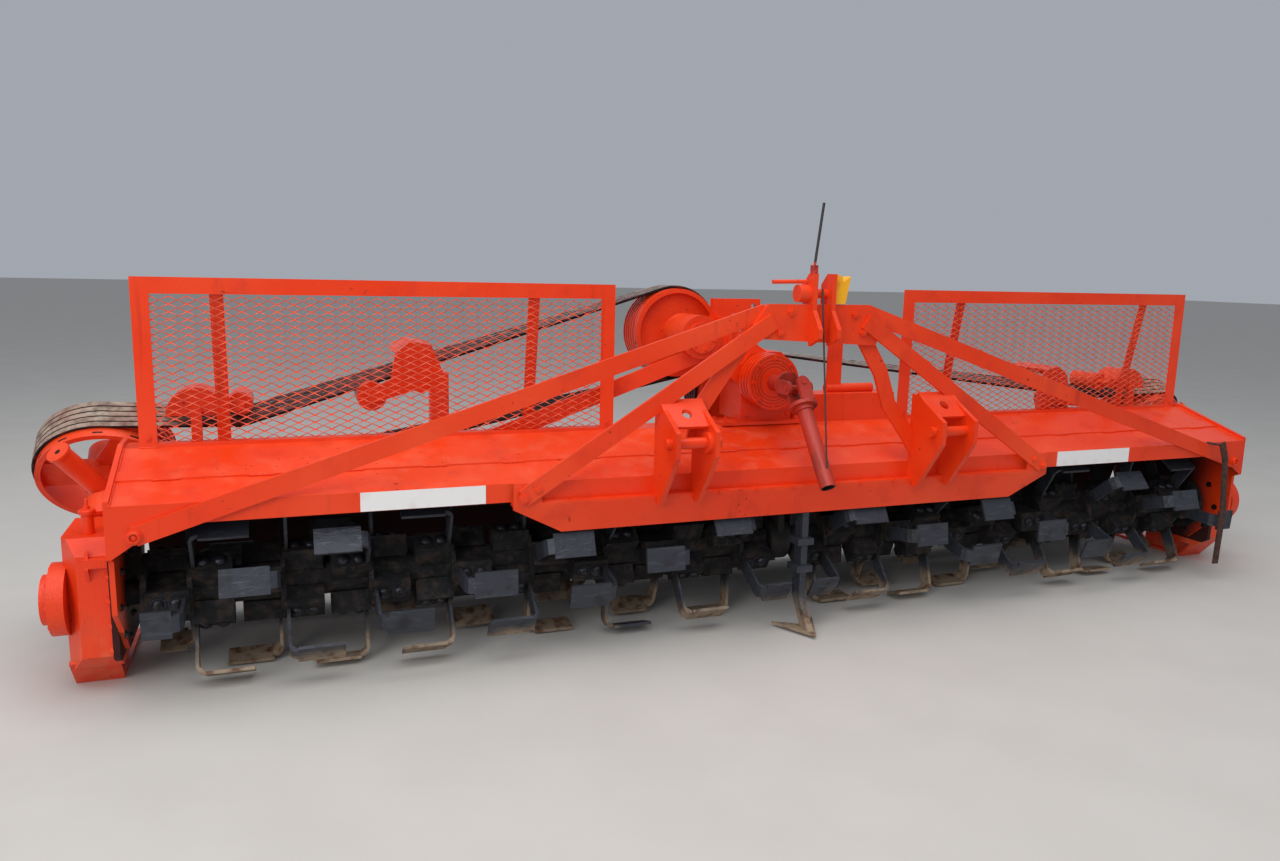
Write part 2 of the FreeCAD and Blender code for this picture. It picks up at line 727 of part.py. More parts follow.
def sheave(centre, direction, radius, hub_r, spokes):
    """A belt sheave: a grooved rim, a web or spokes, a hub and the shaft that it turns on."""
    band = along(centre, direction, SHEAVE_LIP)
    back = along(centre, direction, SHEAVE_LIP + SHEAVE_BAND)
    rim = ring(centre, back, radius, radius - SHEAVE_RIM_THICK - GROOVE_DEEP)
    pitch = SHEAVE_BAND / GROOVES
    for groove in range(GROOVES):
        a = along(band, direction, pitch * (groove + 0.25))
        b = along(band, direction, pitch * (groove + 0.75))
        rim = rim.cut(ring(a, b, radius + 1, radius - GROOVE_DEEP))
    reach = radius - SHEAVE_RIM_THICK
    web = []
    if spokes:
        for spoke in range(spokes):
            angle = 2 * math.pi * spoke / spokes
            upward = direction.cross(vec(-1, 0, 0)).normalize()
            out = along(upward.multiply(math.sin(angle)), vec(1, 0, 0), math.cos(angle))
            flat = along(band, direction, SHEAVE_WEB_THICK / 2)
            web.append(bar(flat, along(flat, out, reach), SPOKE_WIDE, SHEAVE_WEB_THICK, direction))
            rib = along(band, direction, (SHEAVE_WEB_THICK + SPOKE_RIB) / 2)
            rib_end = along(rib, out, reach)
            web.append(bar(rib, rib_end, SHEAVE_WEB_THICK, SHEAVE_WEB_THICK + SPOKE_RIB, direction))
    else:
        web.append(rod(band, along(band, direction, SHEAVE_WEB_THICK), reach))
    hub = rod(band, along(band, direction, SHEAVE_HUB_LONG), hub_r)
    shaft = rod(along(band, direction, -SHEAVE_SHAFT_LONG), along(band, direction, 20), SHEAVE_SHAFT_R)
    return fuse(rim, hub, shaft, *web)


parts["sheave_right_end"] = sheave(sheave_centre, axis, SHEAVE_R, SHEAVE_HUB_R, SPOKES)
parts["sheave_left_end"] = mirror_x(parts["sheave_right_end"])
back_way = vec(0, 1, 0)
upper_centre = vec(UPPER_X, MID_SHEAVE_Y, UPPER_Z)
lower_centre = vec(LOWER_X, MID_SHEAVE_Y, LOWER_Z)
parts["sheave_upper"] = sheave(upper_centre, back_way, MID_R, MID_HUB_R, 0)
parts["sheave_lower"] = sheave(lower_centre, back_way, MID_R, MID_HUB_R, 0)

# Gearbox between the input shaft and the two middle sheaves
gearbox_low_z = RIDGE_Z + BASE_PLATE
main_outline = [
    (LOWER_X - GEARBOX_HALF, gearbox_low_z),
    (LOWER_X + GEARBOX_HALF, gearbox_low_z),
    (LOWER_X + GEARBOX_HALF, INPUT_Z + 55),
    (LOWER_X + GEARBOX_HALF / 2, INPUT_Z + 105),
    (LOWER_X - GEARBOX_HALF * 0.7, INPUT_Z + 105),
    (LOWER_X - GEARBOX_HALF, INPUT_Z + 60),
]
neck_outline = [
    (UPPER_X, UPPER_Z + UPPER_BOSS_R * 0.7),
    (UPPER_X + FLANGE_AT, UPPER_Z + UPPER_BOSS_R * 0.7),
    (LOWER_X, INPUT_Z + 105),
    (LOWER_X - GEARBOX_HALF, INPUT_Z - 20),
    (UPPER_X, UPPER_Z - UPPER_BOSS_R * 0.75),
]
gearbox_main = prism_y(main_outline, GEARBOX_FRONT_Y, GEARBOX_BACK_Y)
gearbox_neck = prism_y(neck_outline, GEARBOX_FRONT_Y + 15, GEARBOX_BACK_Y - 15)
upper_boss = rod(vec(UPPER_X, GEARBOX_FRONT_Y, UPPER_Z), vec(UPPER_X, GEARBOX_BACK_Y, UPPER_Z), UPPER_BOSS_R)
upper_cap = rod(
    vec(UPPER_X, GEARBOX_FRONT_Y - UPPER_CAP, UPPER_Z),
    vec(UPPER_X, GEARBOX_FRONT_Y + 1, UPPER_Z),
    UPPER_CAP_R,
)
neck_flange = box(
    UPPER_X + FLANGE_AT,
    UPPER_X + FLANGE_AT + FLANGE_THICK,
    GEARBOX_FRONT_Y,
    GEARBOX_BACK_Y,
    UPPER_Z - UPPER_BOSS_R * 1.2,
    UPPER_Z + UPPER_BOSS_R * 0.9,
)
arm_low_z = REAR_ARM_Z - REAR_ARM_DEEP / 2
arm_x0 = UPPER_X + FLANGE_AT - 10
arm_x1 = arm_x0 + 205
rear_arm = box(arm_x0, arm_x1, REAR_ARM_Y, REAR_ARM_Y + 24, arm_low_z, arm_low_z + REAR_ARM_DEEP)
arm_pad = box(arm_x0, arm_x0 + 85, REAR_ARM_Y, REAR_ARM_Y + 24, UPPER_Z, arm_low_z + 1)
arm_hole_x = arm_x1 - 28
arm_hole = rod(vec(arm_hole_x, REAR_ARM_Y - 1, REAR_ARM_Z), vec(arm_hole_x, REAR_ARM_Y + 30, REAR_ARM_Z), 12)
gearbox_pieces = (gearbox_main, gearbox_neck, upper_boss, upper_cap, neck_flange, arm_pad, rear_arm)
gearbox = fuse(*gearbox_pieces).cut(arm_hole)
bosses = []
bores = []
for x, z in ((UPPER_X, UPPER_Z), (LOWER_X, LOWER_Z)):
    boss_end = MID_SHEAVE_Y + SHEAVE_LIP - SEAT
    bosses.append(rod(vec(x, GEARBOX_BACK_Y - 5, z), vec(x, boss_end, z), GEARBOX_BOSS_R))
    bore_start = MID_SHEAVE_Y + SHEAVE_LIP - SHEAVE_SHAFT_LONG - 5
    bores.append(rod(vec(x, bore_start, z), vec(x, boss_end + 50, z), SHEAVE_SHAFT_R + RUN_FIT))
gearbox = fuse(gearbox, *bosses)
for bore in bores:
    gearbox = gearbox.cut(bore)
parts["gearbox"] = gearbox
base = box(LOWER_X - BASE_HALF, BASE_BEAM_X + 20, -20, RIDGE_BACK_Y, RIDGE_Z, RIDGE_Z + BASE_PLATE)
base_beam = box(BASE_BEAM_X, BASE_RIGHT_X, 0, RIDGE_BACK_Y, RIDGE_Z, BASE_TOP_Z)
base_tube = rod(
    vec(BASE_RIGHT_X - 290, RIDGE_BACK_Y / 2, BASE_TOP_Z + BASE_TUBE_R - 2),
    vec(BASE_RIGHT_X - 75, RIDGE_BACK_Y / 2, BASE_TOP_Z + BASE_TUBE_R - 2),
    BASE_TUBE_R,
)
front_of_ridge = prism_x(
    [(-60, RIDGE_Z - 40), (-60, deck_top_z(-60)), (0, RIDGE_Z), (0, RIDGE_Z - 40)], -HOOD_HALF, HOOD_HALF
)
post = box(POST_X[0], POST_X[1], POST_Y[0], POST_Y[1], BASE_TOP_Z - 1, POST_TOP_Z)
parts["gearbox_base"] = fuse(base, base_beam, base_tube, post).cut(front_of_ridge)

# Input: slip clutch with its stack of discs, and the cross joint with its two forks
clutch = [rod(vec(0, CLUTCH_Y, INPUT_Z), vec(0, GEARBOX_FRONT_Y, INPUT_Z), CLUTCH_CORE_R)]
disc_pitch = (GEARBOX_FRONT_Y - CLUTCH_Y) / CLUTCH_DISCS
for disc in range(CLUTCH_DISCS):
    y = CLUTCH_Y + disc * disc_pitch
    clutch.append(rod(vec(0, y, INPUT_Z), vec(0, y + CLUTCH_DISC, INPUT_Z), CLUTCH_R))
parts["slip_clutch"] = fuse(*clutch)
joint_centre = vec(0, YOKE_Y, INPUT_Z)
tube_end = vec(0, PTO_END_Y, PTO_END_Z)
tube_way = tube_end.sub(joint_centre).normalize()
tube_start = along(joint_centre, tube_way, COLLAR_LONG)


def fork(centre, way, pin_way):
    """One fork of the cross joint: two eyes on ears, and the base that joins them."""
    solids = [rod(along(centre, way, FORK_LONG), along(centre, way, FORK_LONG + FORK_BASE), FORK_BASE_R)]
    for sign in (-1, 1):
        eye_in = along(centre, pin_way, sign * (FORK_AT - FORK_EAR / 2))
        eye_out = along(centre, pin_way, sign * (FORK_AT + FORK_EAR / 2))
        solids.append(rod(eye_in, eye_out, FORK_EYE_R))
        ear_mid = along(centre, pin_way, sign * FORK_AT)
        solids.append(bar(ear_mid, along(ear_mid, way, FORK_LONG + 2), 2 * FORK_EYE_R, FORK_EAR, pin_way))
    reach = FORK_AT + FORK_EAR / 2 + 4
    solids.append(rod(along(centre, pin_way, -reach), along(centre, pin_way, reach), CROSS_R))
    return solids


across_tube = tube_way.cross(vec(1, 0, 0)).normalize()
joint_parts = fork(joint_centre, vec(0, 1, 0), vec(1, 0, 0)) + fork(joint_centre, tube_way, across_tube)
joint_parts.append(rod(along(joint_centre, vec(0, 1, 0), FORK_LONG), vec(0, CLUTCH_Y, INPUT_Z), YOKE_SHAFT_R))
joint_parts.append(rod(along(joint_centre, tube_way, FORK_LONG), tube_start, COLLAR_R))
parts["universal_joint"] = fuse(*joint_parts)
parts["pto_tube"] = ring(tube_start, tube_end, PTO_TUBE_R, PTO_TUBE_R - PTO_WALL)


# Belts: one band round the two sheaves of each half, twisting on the way
def band_section(centre, direction, outward, radius):
    """The band's section where it lies on a sheave, as a closed wire."""
    a = along(along(centre, direction, SHEAVE_LIP + BELT_SIDE), outward, radius + BELT_AIR)
    b = along(a, direction, SHEAVE_BAND - 2 * BELT_SIDE)
    return Part.makePolygon([a, b, along(b, outward, BELT_THICK), along(a, outward, BELT_THICK), a])


def plane_of(direction):
    """The two ways across a sheave's axis: to the machine's right, and up."""
    upward = direction.cross(vec(-1, 0, 0)).normalize()
    return vec(1, 0, 0), upward


def tangent_angle(centre, direction, radius, point, above):
    """The angle at which a straight run from a point touches a sheave, on its upper or lower side."""
    across, upward = plane_of(direction)
    step = point.sub(centre)
    size = math.hypot(step.dot(across), step.dot(upward))
    towards = math.atan2(step.dot(upward), step.dot(across))
    opening = math.acos(radius / size)
    choices = [towards + opening, towards - opening]
    return sorted(choices, key=math.sin)[1 if above else 0]


def way_at(direction, angle):
    across, upward = plane_of(direction)
    return along(upward.multiply(math.sin(angle)), across, math.cos(angle))


def wrap(centre, direction, radius, start, stop, through):
    """The part of a band that lies on a sheave, from one angle to another, past a third."""
    turn = (stop - start) % (2 * math.pi)
    if (through - start) % (2 * math.pi) > turn:
        turn -= 2 * math.pi
    face = Part.Face(band_section(centre, direction, way_at(direction, start), radius))
    return face.revolve(centre, direction, -math.degrees(turn))


def belt_band(end_centre, end_way, mid_centre, side):
    mid_way = vec(0, 1, 0)
    share = (SHEAVE_X - KINK_X) / (SHEAVE_X - side * mid_centre.x)
    end_y = end_centre.y + SHEAVE_LIP * end_way.y - SHEAVE_R * end_way.z
    kink_y = (1 - share) * end_y + share * (mid_centre.y + SHEAVE_LIP)
    kink = vec(side * KINK_X, kink_y, KINK_Z)
    kink_base = along(kink, mid_way, -SHEAVE_LIP)
    end_top = tangent_angle(end_centre, end_way, SHEAVE_R, along(kink, mid_way, SHEAVE_BAND), True)
    mid_top = tangent_angle(mid_centre, mid_way, MID_R, kink, True)
    end_low = tangent_angle(end_centre, end_way, SHEAVE_R, mid_centre, False)
    mid_low = tangent_angle(mid_centre, mid_way, MID_R, end_centre, False)
    end_section = band_section(end_centre, end_way, way_at(end_way, end_top), SHEAVE_R)
    mid_section = band_section(mid_centre, mid_way, way_at(mid_way, mid_top), MID_R)
    kink_section = band_section(kink_base, mid_way, vec(0, 0, 1), 0)
    low_end = band_section(end_centre, end_way, way_at(end_way, end_low), SHEAVE_R)
    low_mid = band_section(mid_centre, mid_way, way_at(mid_way, mid_low), MID_R)
    outward = 0.0 if side > 0 else math.pi
    return fuse(
        Part.makeLoft([end_section, kink_section], True, True),
        Part.makeLoft([kink_section, mid_section], True, True),
        Part.makeLoft([low_end, low_mid], True, True),
        wrap(end_centre, end_way, SHEAVE_R, end_top, end_low, outward),
        wrap(mid_centre, mid_way, MID_R, mid_top, mid_low, math.pi - outward),
    )


SHEAVE_X = HOOD_HALF + DRIVE_OUT
left_centre = vec(-SHEAVE_X, sheave_centre.y, sheave_centre.z)
parts["belts_left"] = belt_band(left_centre, axis, upper_centre, -1)
parts["belts_right"] = belt_band(sheave_centre, axis, lower_centre, 1)


# Idlers on each half: x and the belts' top at the casting, and the same at the wheel
def idlers(side, x, top_z, wheel_z):
    plate_back = IDLER_PLATE_Y + IDLER_PLATE
    casting_line = [(-107, -50), (-88, 46), (-37, 86), (32, 73), (76, -33), (2, -95)]
    casting = prism_y([(x + dx, top_z + dz) for dx, dz in casting_line], IDLER_PLATE_Y, plate_back)
    roof_line = [(x + dx, top_z + dz) for dx, dz in casting_line[1:4]]
    roof = prism_y(strip(roof_line, 12), plate_back - 1, plate_back + 215)
    post = box(x + 20, x + 84, IDLER_PLATE_Y - 32, IDLER_PLATE_Y, RIDGE_Z, top_z - 20)
    wheel_x = x - WHEEL_OUT
    arm = prism_y(
        [
            (x - 50, top_z - 10),
            (x - 20, top_z - 80),
            (wheel_x - 14, wheel_z - 14),
            (wheel_x - 20, wheel_z + 26),
        ],
        IDLER_PLATE_Y,
        plate_back,
    )
    axle = rod(vec(wheel_x, plate_back - 1, wheel_z), vec(wheel_x, plate_back + 215, wheel_z), 14)
    wheel = rod(vec(wheel_x, plate_back + 80, wheel_z), vec(wheel_x, plate_back + 200, wheel_z), WHEEL_R)
    carrier = fuse(casting, roof, post, arm, axle, wheel)
    cover_z = KINK_Z + 26
    cover_y1 = plate_back + COVER_DEEP
    cover = rod(vec(-COVER_X, plate_back, cover_z), vec(-COVER_X, cover_y1, cover_z), COVER_R)
    hollow_r = COVER_R - COVER_WALL
    hollow = rod(vec(-COVER_X, plate_back + 6, cover_z), vec(-COVER_X, cover_y1 + 1, cover_z), hollow_r)
    cut_half = COVER_R + 5
    lower_half = box(-COVER_X - cut_half, -COVER_X + cut_half, 0, cover_y1 + 5, cover_z - cut_half, cover_z)
    strap = box(-COVER_X - 16, -COVER_X + 16, IDLER_PLATE_Y - 4, plate_back + 3, RIDGE_Z, cover_z + 30)
    under_strap = box(-COVER_X - 60, -COVER_X + 60, RIDGE_BACK_Y, cover_y1 + 5, RIDGE_Z - 50, RIDGE_Z + 8)
    roller_z = KINK_Z + BELT_AIR + BELT_THICK + ROLLER_R + ROLLER_AIR
    reach = bar(
        vec(-COVER_X + 10, plate_back - 5, cover_z + 30),
        vec(-KINK_X, plate_back - 5, roller_z),
        34,
        10,
        vec(0, 1, 0),
    )
    spindle = rod(vec(-KINK_X, plate_back - 10, roller_z), vec(-KINK_X, plate_back + 200, roller_z), 12)
    roller = rod(vec(-KINK_X, plate_back + 50, roller_z), vec(-KINK_X, plate_back + 196, roller_z), ROLLER_R)
    outer = fuse(cover.cut(hollow).cut(lower_half), strap, reach, spindle, roller).cut(under_strap)
    both = Part.makeCompound([carrier, largest(outer)])
    return both if side < 0 else mirror_x(both)


def top_run_z(x, mid_centre, side):
    """The belts' upper face above a place along the machine, between the roller and the middle."""
    share = (KINK_X - abs(x)) / (KINK_X - side * mid_centre.x)
    return KINK_Z + BELT_THICK + share * (mid_centre.z + MID_R - KINK_Z)


idler_places = (
    (-1, "left", -LEFT_IDLER_X, upper_centre),
    (1, "right", -RIGHT_IDLER_X, lower_centre),
)
for side, word, x, mid_centre in idler_places:
    top_z = top_run_z(x, mid_centre, side)
    wheel_z = top_run_z(x - WHEEL_OUT, mid_centre, side) - BELT_THICK - WHEEL_AIR - WHEEL_R
    parts["idlers_" + word] = idlers(side, x, top_z, wheel_z)


# Mesh guards
def guard_frame():
    low = RIDGE_Z
    outer = box(GUARD_IN_X, GUARD_OUT_X, 0, GUARD_BAR_THICK, low, GUARD_TOP_Z)
    inner = box(
        GUARD_IN_X + GUARD_BAR,
        GUARD_OUT_X - GUARD_BAR,
        -1,
        GUARD_BAR_THICK + 1,
        low + 12,
        GUARD_TOP_Z - GUARD_BAR,
    )
    return outer.cut(inner)


def guard_mesh():
    """Expanded metal drawn at twice its real pitch: a sheet with diamond holes."""
    x0 = GUARD_IN_X + 4
    x1 = GUARD_OUT_X - 4
    z0 = RIDGE_Z + 4
    z1 = GUARD_TOP_Z - GUARD_BAR + 4
    frame = [vec(x0, 0, z0), vec(x1, 0, z0), vec(x1, 0, z1), vec(x0, 0, z1), vec(x0, 0, z0)]
    holes = []
    half_l = MESH_LONG / 2 - MESH_STRAND
    half_h = MESH_HIGH / 2 - MESH_STRAND * MESH_HIGH / MESH_LONG
    rows = int((z1 - z0) / (MESH_HIGH / 2)) - 1
    for row in range(rows):
        z = z0 + (row + 1) * MESH_HIGH / 2
        shift = MESH_LONG / 2 if row % 2 else 0.0
        x = x0 + MESH_LONG / 2 + shift + 2
        while x + half_l < x1 - 2:
            corners = [
                vec(x - half_l, 0, z),
                vec(x, 0, z + half_h),
                vec(x + half_l, 0, z),
                vec(x, 0, z - half_h),
            ]
            holes.append(Part.makePolygon(corners + corners[:1]))
            x += MESH_LONG
    face = Part.Face([Part.makePolygon(frame)] + holes)
    sheet = face.extrude(vec(0, MESH_THICK, 0))
    sheet.translate(vec(0, GUARD_BAR_THICK, 0))
    return sheet


stays = []
for x in STAY_XS:
    stay_top = vec(x, GUARD_BAR_THICK + MESH_THICK + STAY_THICK / 2, STAY_TOP_Z)
    stay_foot = vec(x, RIDGE_BACK_Y - STAY_THICK, RIDGE_Z)
    stays.append(bar(stay_top, stay_foot, STAY_WIDE, STAY_THICK, vec(0, -1, 0)))
    pad_x0 = x - STAY_WIDE / 2
    pad_x1 = x + STAY_WIDE / 2
    stays.append(box(pad_x0, pad_x1, 1, stay_top.y + 2, GUARD_TOP_Z - GUARD_BAR + 8, GUARD_TOP_Z - 4))
guard = fuse(guard_frame(), *stays)
guard = guard.cut(box(0, HOOD_HALF, -50, 200, RIDGE_Z - 60, RIDGE_Z))
parts["guard_frame_right"] = largest(guard)
parts["guard_frame_left"] = mirror_x(parts["guard_frame_right"])
parts["guard_mesh_right"] = guard_mesh()
parts["guard_mesh_left"] = mirror_x(parts["guard_mesh_right"])

# Front beam under the apron
beam_outline = [
    (BEAM_Y, APRON_LOW_Z),
    (BEAM_Y, BEAM_TOP_Z),
    (BEAM_LOW_Y, BEAM_LOW_Z),
    (BEAM_LOW_Y + BEAM_THICK, BEAM_LOW_Z),
    (BEAM_Y + BEAM_THICK, APRON_LOW_Z - BEAM_THICK),
    (APRON_Y + SHEET, APRON_LOW_Z - BEAM_THICK),
    (APRON_Y + SHEET, APRON_LOW_Z),
]
beam = prism_x(beam_outline, -BEAM_HALF_TOP, BEAM_HALF_TOP)
for side in (-1, 1):
    corner = prism_y(
        [
            (side * (BEAM_HALF_TOP + 1), BEAM_TOP_Z - 10),
            (side * (BEAM_HALF_TOP + 1), BEAM_LOW_Z - 1),
            (side * BEAM_HALF_LOW, BEAM_LOW_Z - 1),
        ],
        BEAM_Y - 10,
        BEAM_LOW_Y + 60,
    )
    beam = beam.cut(corner)
    ear_x0 = side * (BEAM_HALF_TOP - 1)
    ear_x1 = side * (BEAM_HALF_TOP - 90)
    ear = box(
        min(ear_x0, ear_x1),
        max(ear_x0, ear_x1),
        BEAM_Y,
        BEAM_Y + 10,
        APRON_LOW_Z - 2,
        INNER_BRACE_Z + 45,
    )
    beam = fuse(beam, ear)
parts["front_beam"] = beam

# Wing plate and mast plates
wing_outline = [
    (-WING_HALF + 12, WING_LOW_Z + 25),
    (-WING_HALF, WING_LOW_Z + 72),
    (-WING_HALF + 50, WING_TOP_Z),
    (WING_HALF - 50, WING_TOP_Z),
    (WING_HALF, WING_LOW_Z + 72),
    (WING_HALF - 20, WING_LOW_Z),
]
parts["wing_plate"] = prism_y(wing_outline, MAST_Y, MAST_Y + WING_THICK)
mast_back = MAST_FRONT_Y + MAST_DEEP
mast_outline = [
    (MAST_FRONT_Y, WING_TOP_Z - 20),
    (MAST_FRONT_Y, MAST_TOP_Z),
    (MAST_FRONT_Y + MAST_DEEP / 2, MAST_TOP_Z),
    (mast_back, MAST_TOP_Z - MAST_DEEP / 2),
    (mast_back, WING_TOP_Z),
    (MAST_Y, WING_TOP_Z),
    (MAST_Y, WING_LOW_Z),
    (MAST_FRONT_Y - 45, WING_LOW_Z + 30),
    (MAST_FRONT_Y - 45, WING_LOW_Z + 60),
]
pin_bore = rod(vec(-200, TOP_PIN_Y, TOP_PIN_Z), vec(200, TOP_PIN_Y, TOP_PIN_Z), TOP_PIN_R)
for side, word in ((-1, "left"), (1, "right")):
    x0 = side * MAST_GAP / 2
    x1 = side * (MAST_GAP / 2 + MAST_PLATE)
    parts["mast_plate_" + word] = prism_x(mast_outline, min(x0, x1), max(x0, x1)).cut(pin_bore)

# Stud and marker rod on the left mast plate, and the holder on the right one
stud_x = -MAST_GAP / 2 - MAST_PLATE / 2
stud_y = MAST_FRONT_Y + MAST_DEEP / 4
stud = rod(vec(stud_x, stud_y, MAST_TOP_Z), vec(stud_x, stud_y, MAST_TOP_Z + 28), STUD_R)
marker_foot = vec(stud_x, stud_y, MAST_TOP_Z + 20)
marker = rod(marker_foot, vec(stud_x + 24, stud_y, MARKER_TOP_Z), MARKER_R)
parts["marker_rod"] = fuse(stud, marker)
holder_x = MAST_GAP / 2 + MAST_PLATE
holder = prism_y(
    [
        (holder_x, TOP_PIN_Z - 34),
        (holder_x, TOP_PIN_Z - 34 + HOLDER_HIGH),
        (holder_x + HOLDER_LONG * 0.45, TOP_PIN_Z - 38 + HOLDER_HIGH),
        (holder_x + HOLDER_LONG * 0.55, TOP_PIN_Z - 60 + HOLDER_HIGH),
        (holder_x + HOLDER_LONG, TOP_PIN_Z - 40 + HOLDER_HIGH),
        (holder_x + HOLDER_LONG * 0.75, TOP_PIN_Z - 34),
    ],
    TOP_PIN_Y - 20,
    TOP_PIN_Y + 24,
)

# Braces from the wing plate out to the hood
front = vec(0, -1, 0)
brace_top_y = MAST_Y + WING_THICK + BRACE_THICK / 2
for side, word in ((-1, "left"), (1, "right")):
    parts["long_brace_" + word] = bar(
        vec(side * LONG_BRACE_TOP_X, brace_top_y, WING_TOP_Z - BRACE_DEEP / 2),
        vec(side * LONG_BRACE_X, APRON_Y - BRACE_THICK / 2, LONG_BRACE_Z),
        BRACE_DEEP,
        BRACE_THICK,
        front,
    )
    parts["inner_brace_" + word] = bar(
        vec(side * INNER_BRACE_TOP_X, MAST_Y - BRACE_THICK / 2, WING_TOP_Z - BRACE_DEEP),
        vec(side * INNER_BRACE_X, BEAM_Y - BRACE_THICK / 2, INNER_BRACE_Z),
        BRACE_DEEP,
        BRACE_THICK,
        front,
    ).cut(parts["wing_plate"])

# Legs from behind the wing plate down to the hitch plates, the right one bowed: x and z of each corner
hitch_inner_x = HITCH_HALF - HITCH_GAP / 2 - HITCH_PLATE
left_leg_line = [(-125, 1120), (-245, 1040), (-400, 815), (-hitch_inner_x + 6, 690)]
right_leg_line = [
    (100, 1125),
    (170, 1035),
    (245, 920),
    (290, 800),
    (hitch_inner_x - 50, 690),
    (hitch_inner_x + 4, 610),
]
leg_lines = (("left", left_leg_line), ("right", right_leg_line))
for word, line in leg_lines:
    drawn = line if word == "right" else line[::-1]
    leg_y0 = MAST_Y + WING_THICK
    parts["leg_" + word] = prism_y(strip(drawn, -BRACE_DEEP), leg_y0, leg_y0 + BRACE_THICK)

# Hitch clevises: two plates each, standing on the beam, with a pin across
for side, word in ((-1, "left"), (1, "right")):
    outline = [
        (BEAM_Y - 25, BEAM_TOP_Z - 20),
        (HITCH_PIN_Y - 45, HITCH_PIN_Z - 40),
        (HITCH_PIN_Y - 45, HITCH_PIN_Z + 40),
        (BEAM_Y, HITCH_PIN_Z + 118),
        (APRON_Y, HITCH_PIN_Z + 118),
        (APRON_Y, APRON_LOW_Z),
        (BEAM_Y, APRON_LOW_Z),
        (BEAM_Y, BEAM_TOP_Z - 20),
    ]
    plates = []
    for edge in (-1, 1):
        x0 = side * HITCH_HALF + edge * HITCH_GAP / 2
        x1 = x0 + edge * HITCH_PLATE
        plates.append(prism_x(outline, min(x0, x1), max(x0, x1)))
    pin = rod(
        vec(side * HITCH_HALF - HITCH_GAP / 2 - HITCH_PLATE - 20, HITCH_PIN_Y, HITCH_PIN_Z),
        vec(side * HITCH_HALF + HITCH_GAP / 2 + HITCH_PLATE + 20, HITCH_PIN_Y, HITCH_PIN_Z),
        HITCH_PIN_R,
    )
    cover_line = [(BEAM_Y, HITCH_PIN_Z + 128), (HITCH_PIN_Y + 8, HITCH_PIN_Z + 52)]
    inner = HITCH_HALF - HITCH_GAP / 2 - HITCH_PLATE
    outer = HITCH_HALF + HITCH_GAP / 2 + HITCH_PLATE
    slope_x0 = min(side * inner, side * outer)
    slope_x1 = max(side * inner, side * outer)
    slope = prism_x(strip(cover_line, -HITCH_COVER), slope_x0, slope_x1)
    slot_mid = vec(side * HITCH_HALF, (BEAM_Y + HITCH_PIN_Y) / 2, HITCH_PIN_Z + 92)
    slot = rod(along(slot_mid, vec(0, 0, -1), 60), along(slot_mid, vec(0, 0, 1), 60), HITCH_SLOT_R)
    bush_x0 = side * (inner + HITCH_PLATE)
    bush = rod(
        vec(bush_x0 - side, HITCH_PIN_Y, HITCH_PIN_Z),
        vec(bush_x0 + side * 16, HITCH_PIN_Y, HITCH_PIN_Z),
        HITCH_BUSH_R,
    )
    parts["hitch_clevis_" + word] = fuse(plates[0], plates[1], pin, bush, slope.cut(slot))

# Top link pin through the mast plates, with its boss and handle
pin_left_x = -MAST_GAP / 2 - MAST_PLATE
pin_boss = rod(
    vec(pin_left_x - TOP_PIN_BOSS, TOP_PIN_Y, TOP_PIN_Z),
    vec(pin_left_x, TOP_PIN_Y, TOP_PIN_Z),
    TOP_PIN_BOSS_R,
)
pin = rod(
    vec(pin_left_x - 1, TOP_PIN_Y, TOP_PIN_Z),
    vec(MAST_GAP / 2 + MAST_PLATE + HOLDER_LONG / 3, TOP_PIN_Y, TOP_PIN_Z),
    TOP_PIN_R,
)
handle_z = TOP_PIN_Z + TOP_PIN_BOSS_R + HANDLE_R
handle = rod(
    vec(pin_left_x - TOP_PIN_BOSS - HANDLE_LONG, TOP_PIN_Y, handle_z),
    vec(pin_left_x - 8, TOP_PIN_Y, handle_z + 3),
    HANDLE_R,
)
handle_root = rod(
    vec(pin_left_x - 16, TOP_PIN_Y, TOP_PIN_Z),
    vec(pin_left_x - 16, TOP_PIN_Y, handle_z + 3),
    HANDLE_R,
)
parts["top_link_pin"] = fuse(pin, pin_boss, handle, handle_root)
parts["holder"] = holder.cut(pin)

# Wire from the top link pin that holds the half shaft's free end up
wire_top = vec(0, TOP_PIN_Y - TOP_PIN_R - WIRE_R - 1, TOP_PIN_Z + TOP_PIN_R)
parts["lift_wire"] = rod(wire_top, vec(0, PTO_END_Y + 12, PTO_END_Z + 45), WIRE_R)

for word in ("left", "right"):
    parts["leg_" + word] = largest(parts["leg_" + word].cut(parts["hitch_clevis_" + word]))
    parts["inner_brace_" + word] = largest(parts["inner_brace_" + word].cut(parts["hitch_clevis_" + word]))
    parts["long_brace_" + word] = largest(parts["long_brace_" + word].cut(parts["leg_" + word]))
parts["lift_wire"] = parts["lift_wire"].cut(rod(tube_start, tube_end, PTO_TUBE_R))

# Bent bar that hangs over the right long brace, in front of the blades
brace_slope = (WING_TOP_Z - BRACE_DEEP / 2 - LONG_BRACE_Z) / (LONG_BRACE_X - LONG_BRACE_TOP_X)
brace_rise = BRACE_DEEP / 2 * math.hypot(1, brace_slope)
hook_x = HANG_X - HANG_WIDE
hook_z = LONG_BRACE_Z + (LONG_BRACE_X - hook_x) * brace_slope + brace_rise + SEAT
hang_front = ROTOR_Y - ROTOR_R - HANG_THICK - 10
hang_line = [
    (hook_x, hook_z + HANG_THICK),
    (HANG_X, hook_z - 62),
    (HANG_X + 26, 310),
    (HANG_X + 18, 80),
]
hang = prism_y(strip(hang_line, -HANG_WIDE), hang_front - HANG_THICK, hang_front)
hook = box(hook_x - 1, hook_x + HANG_WIDE / 2, hang_front - 1, APRON_Y, hook_z, hook_z + HANG_THICK)
parts["hanging_bar"] = fuse(hang, hook)

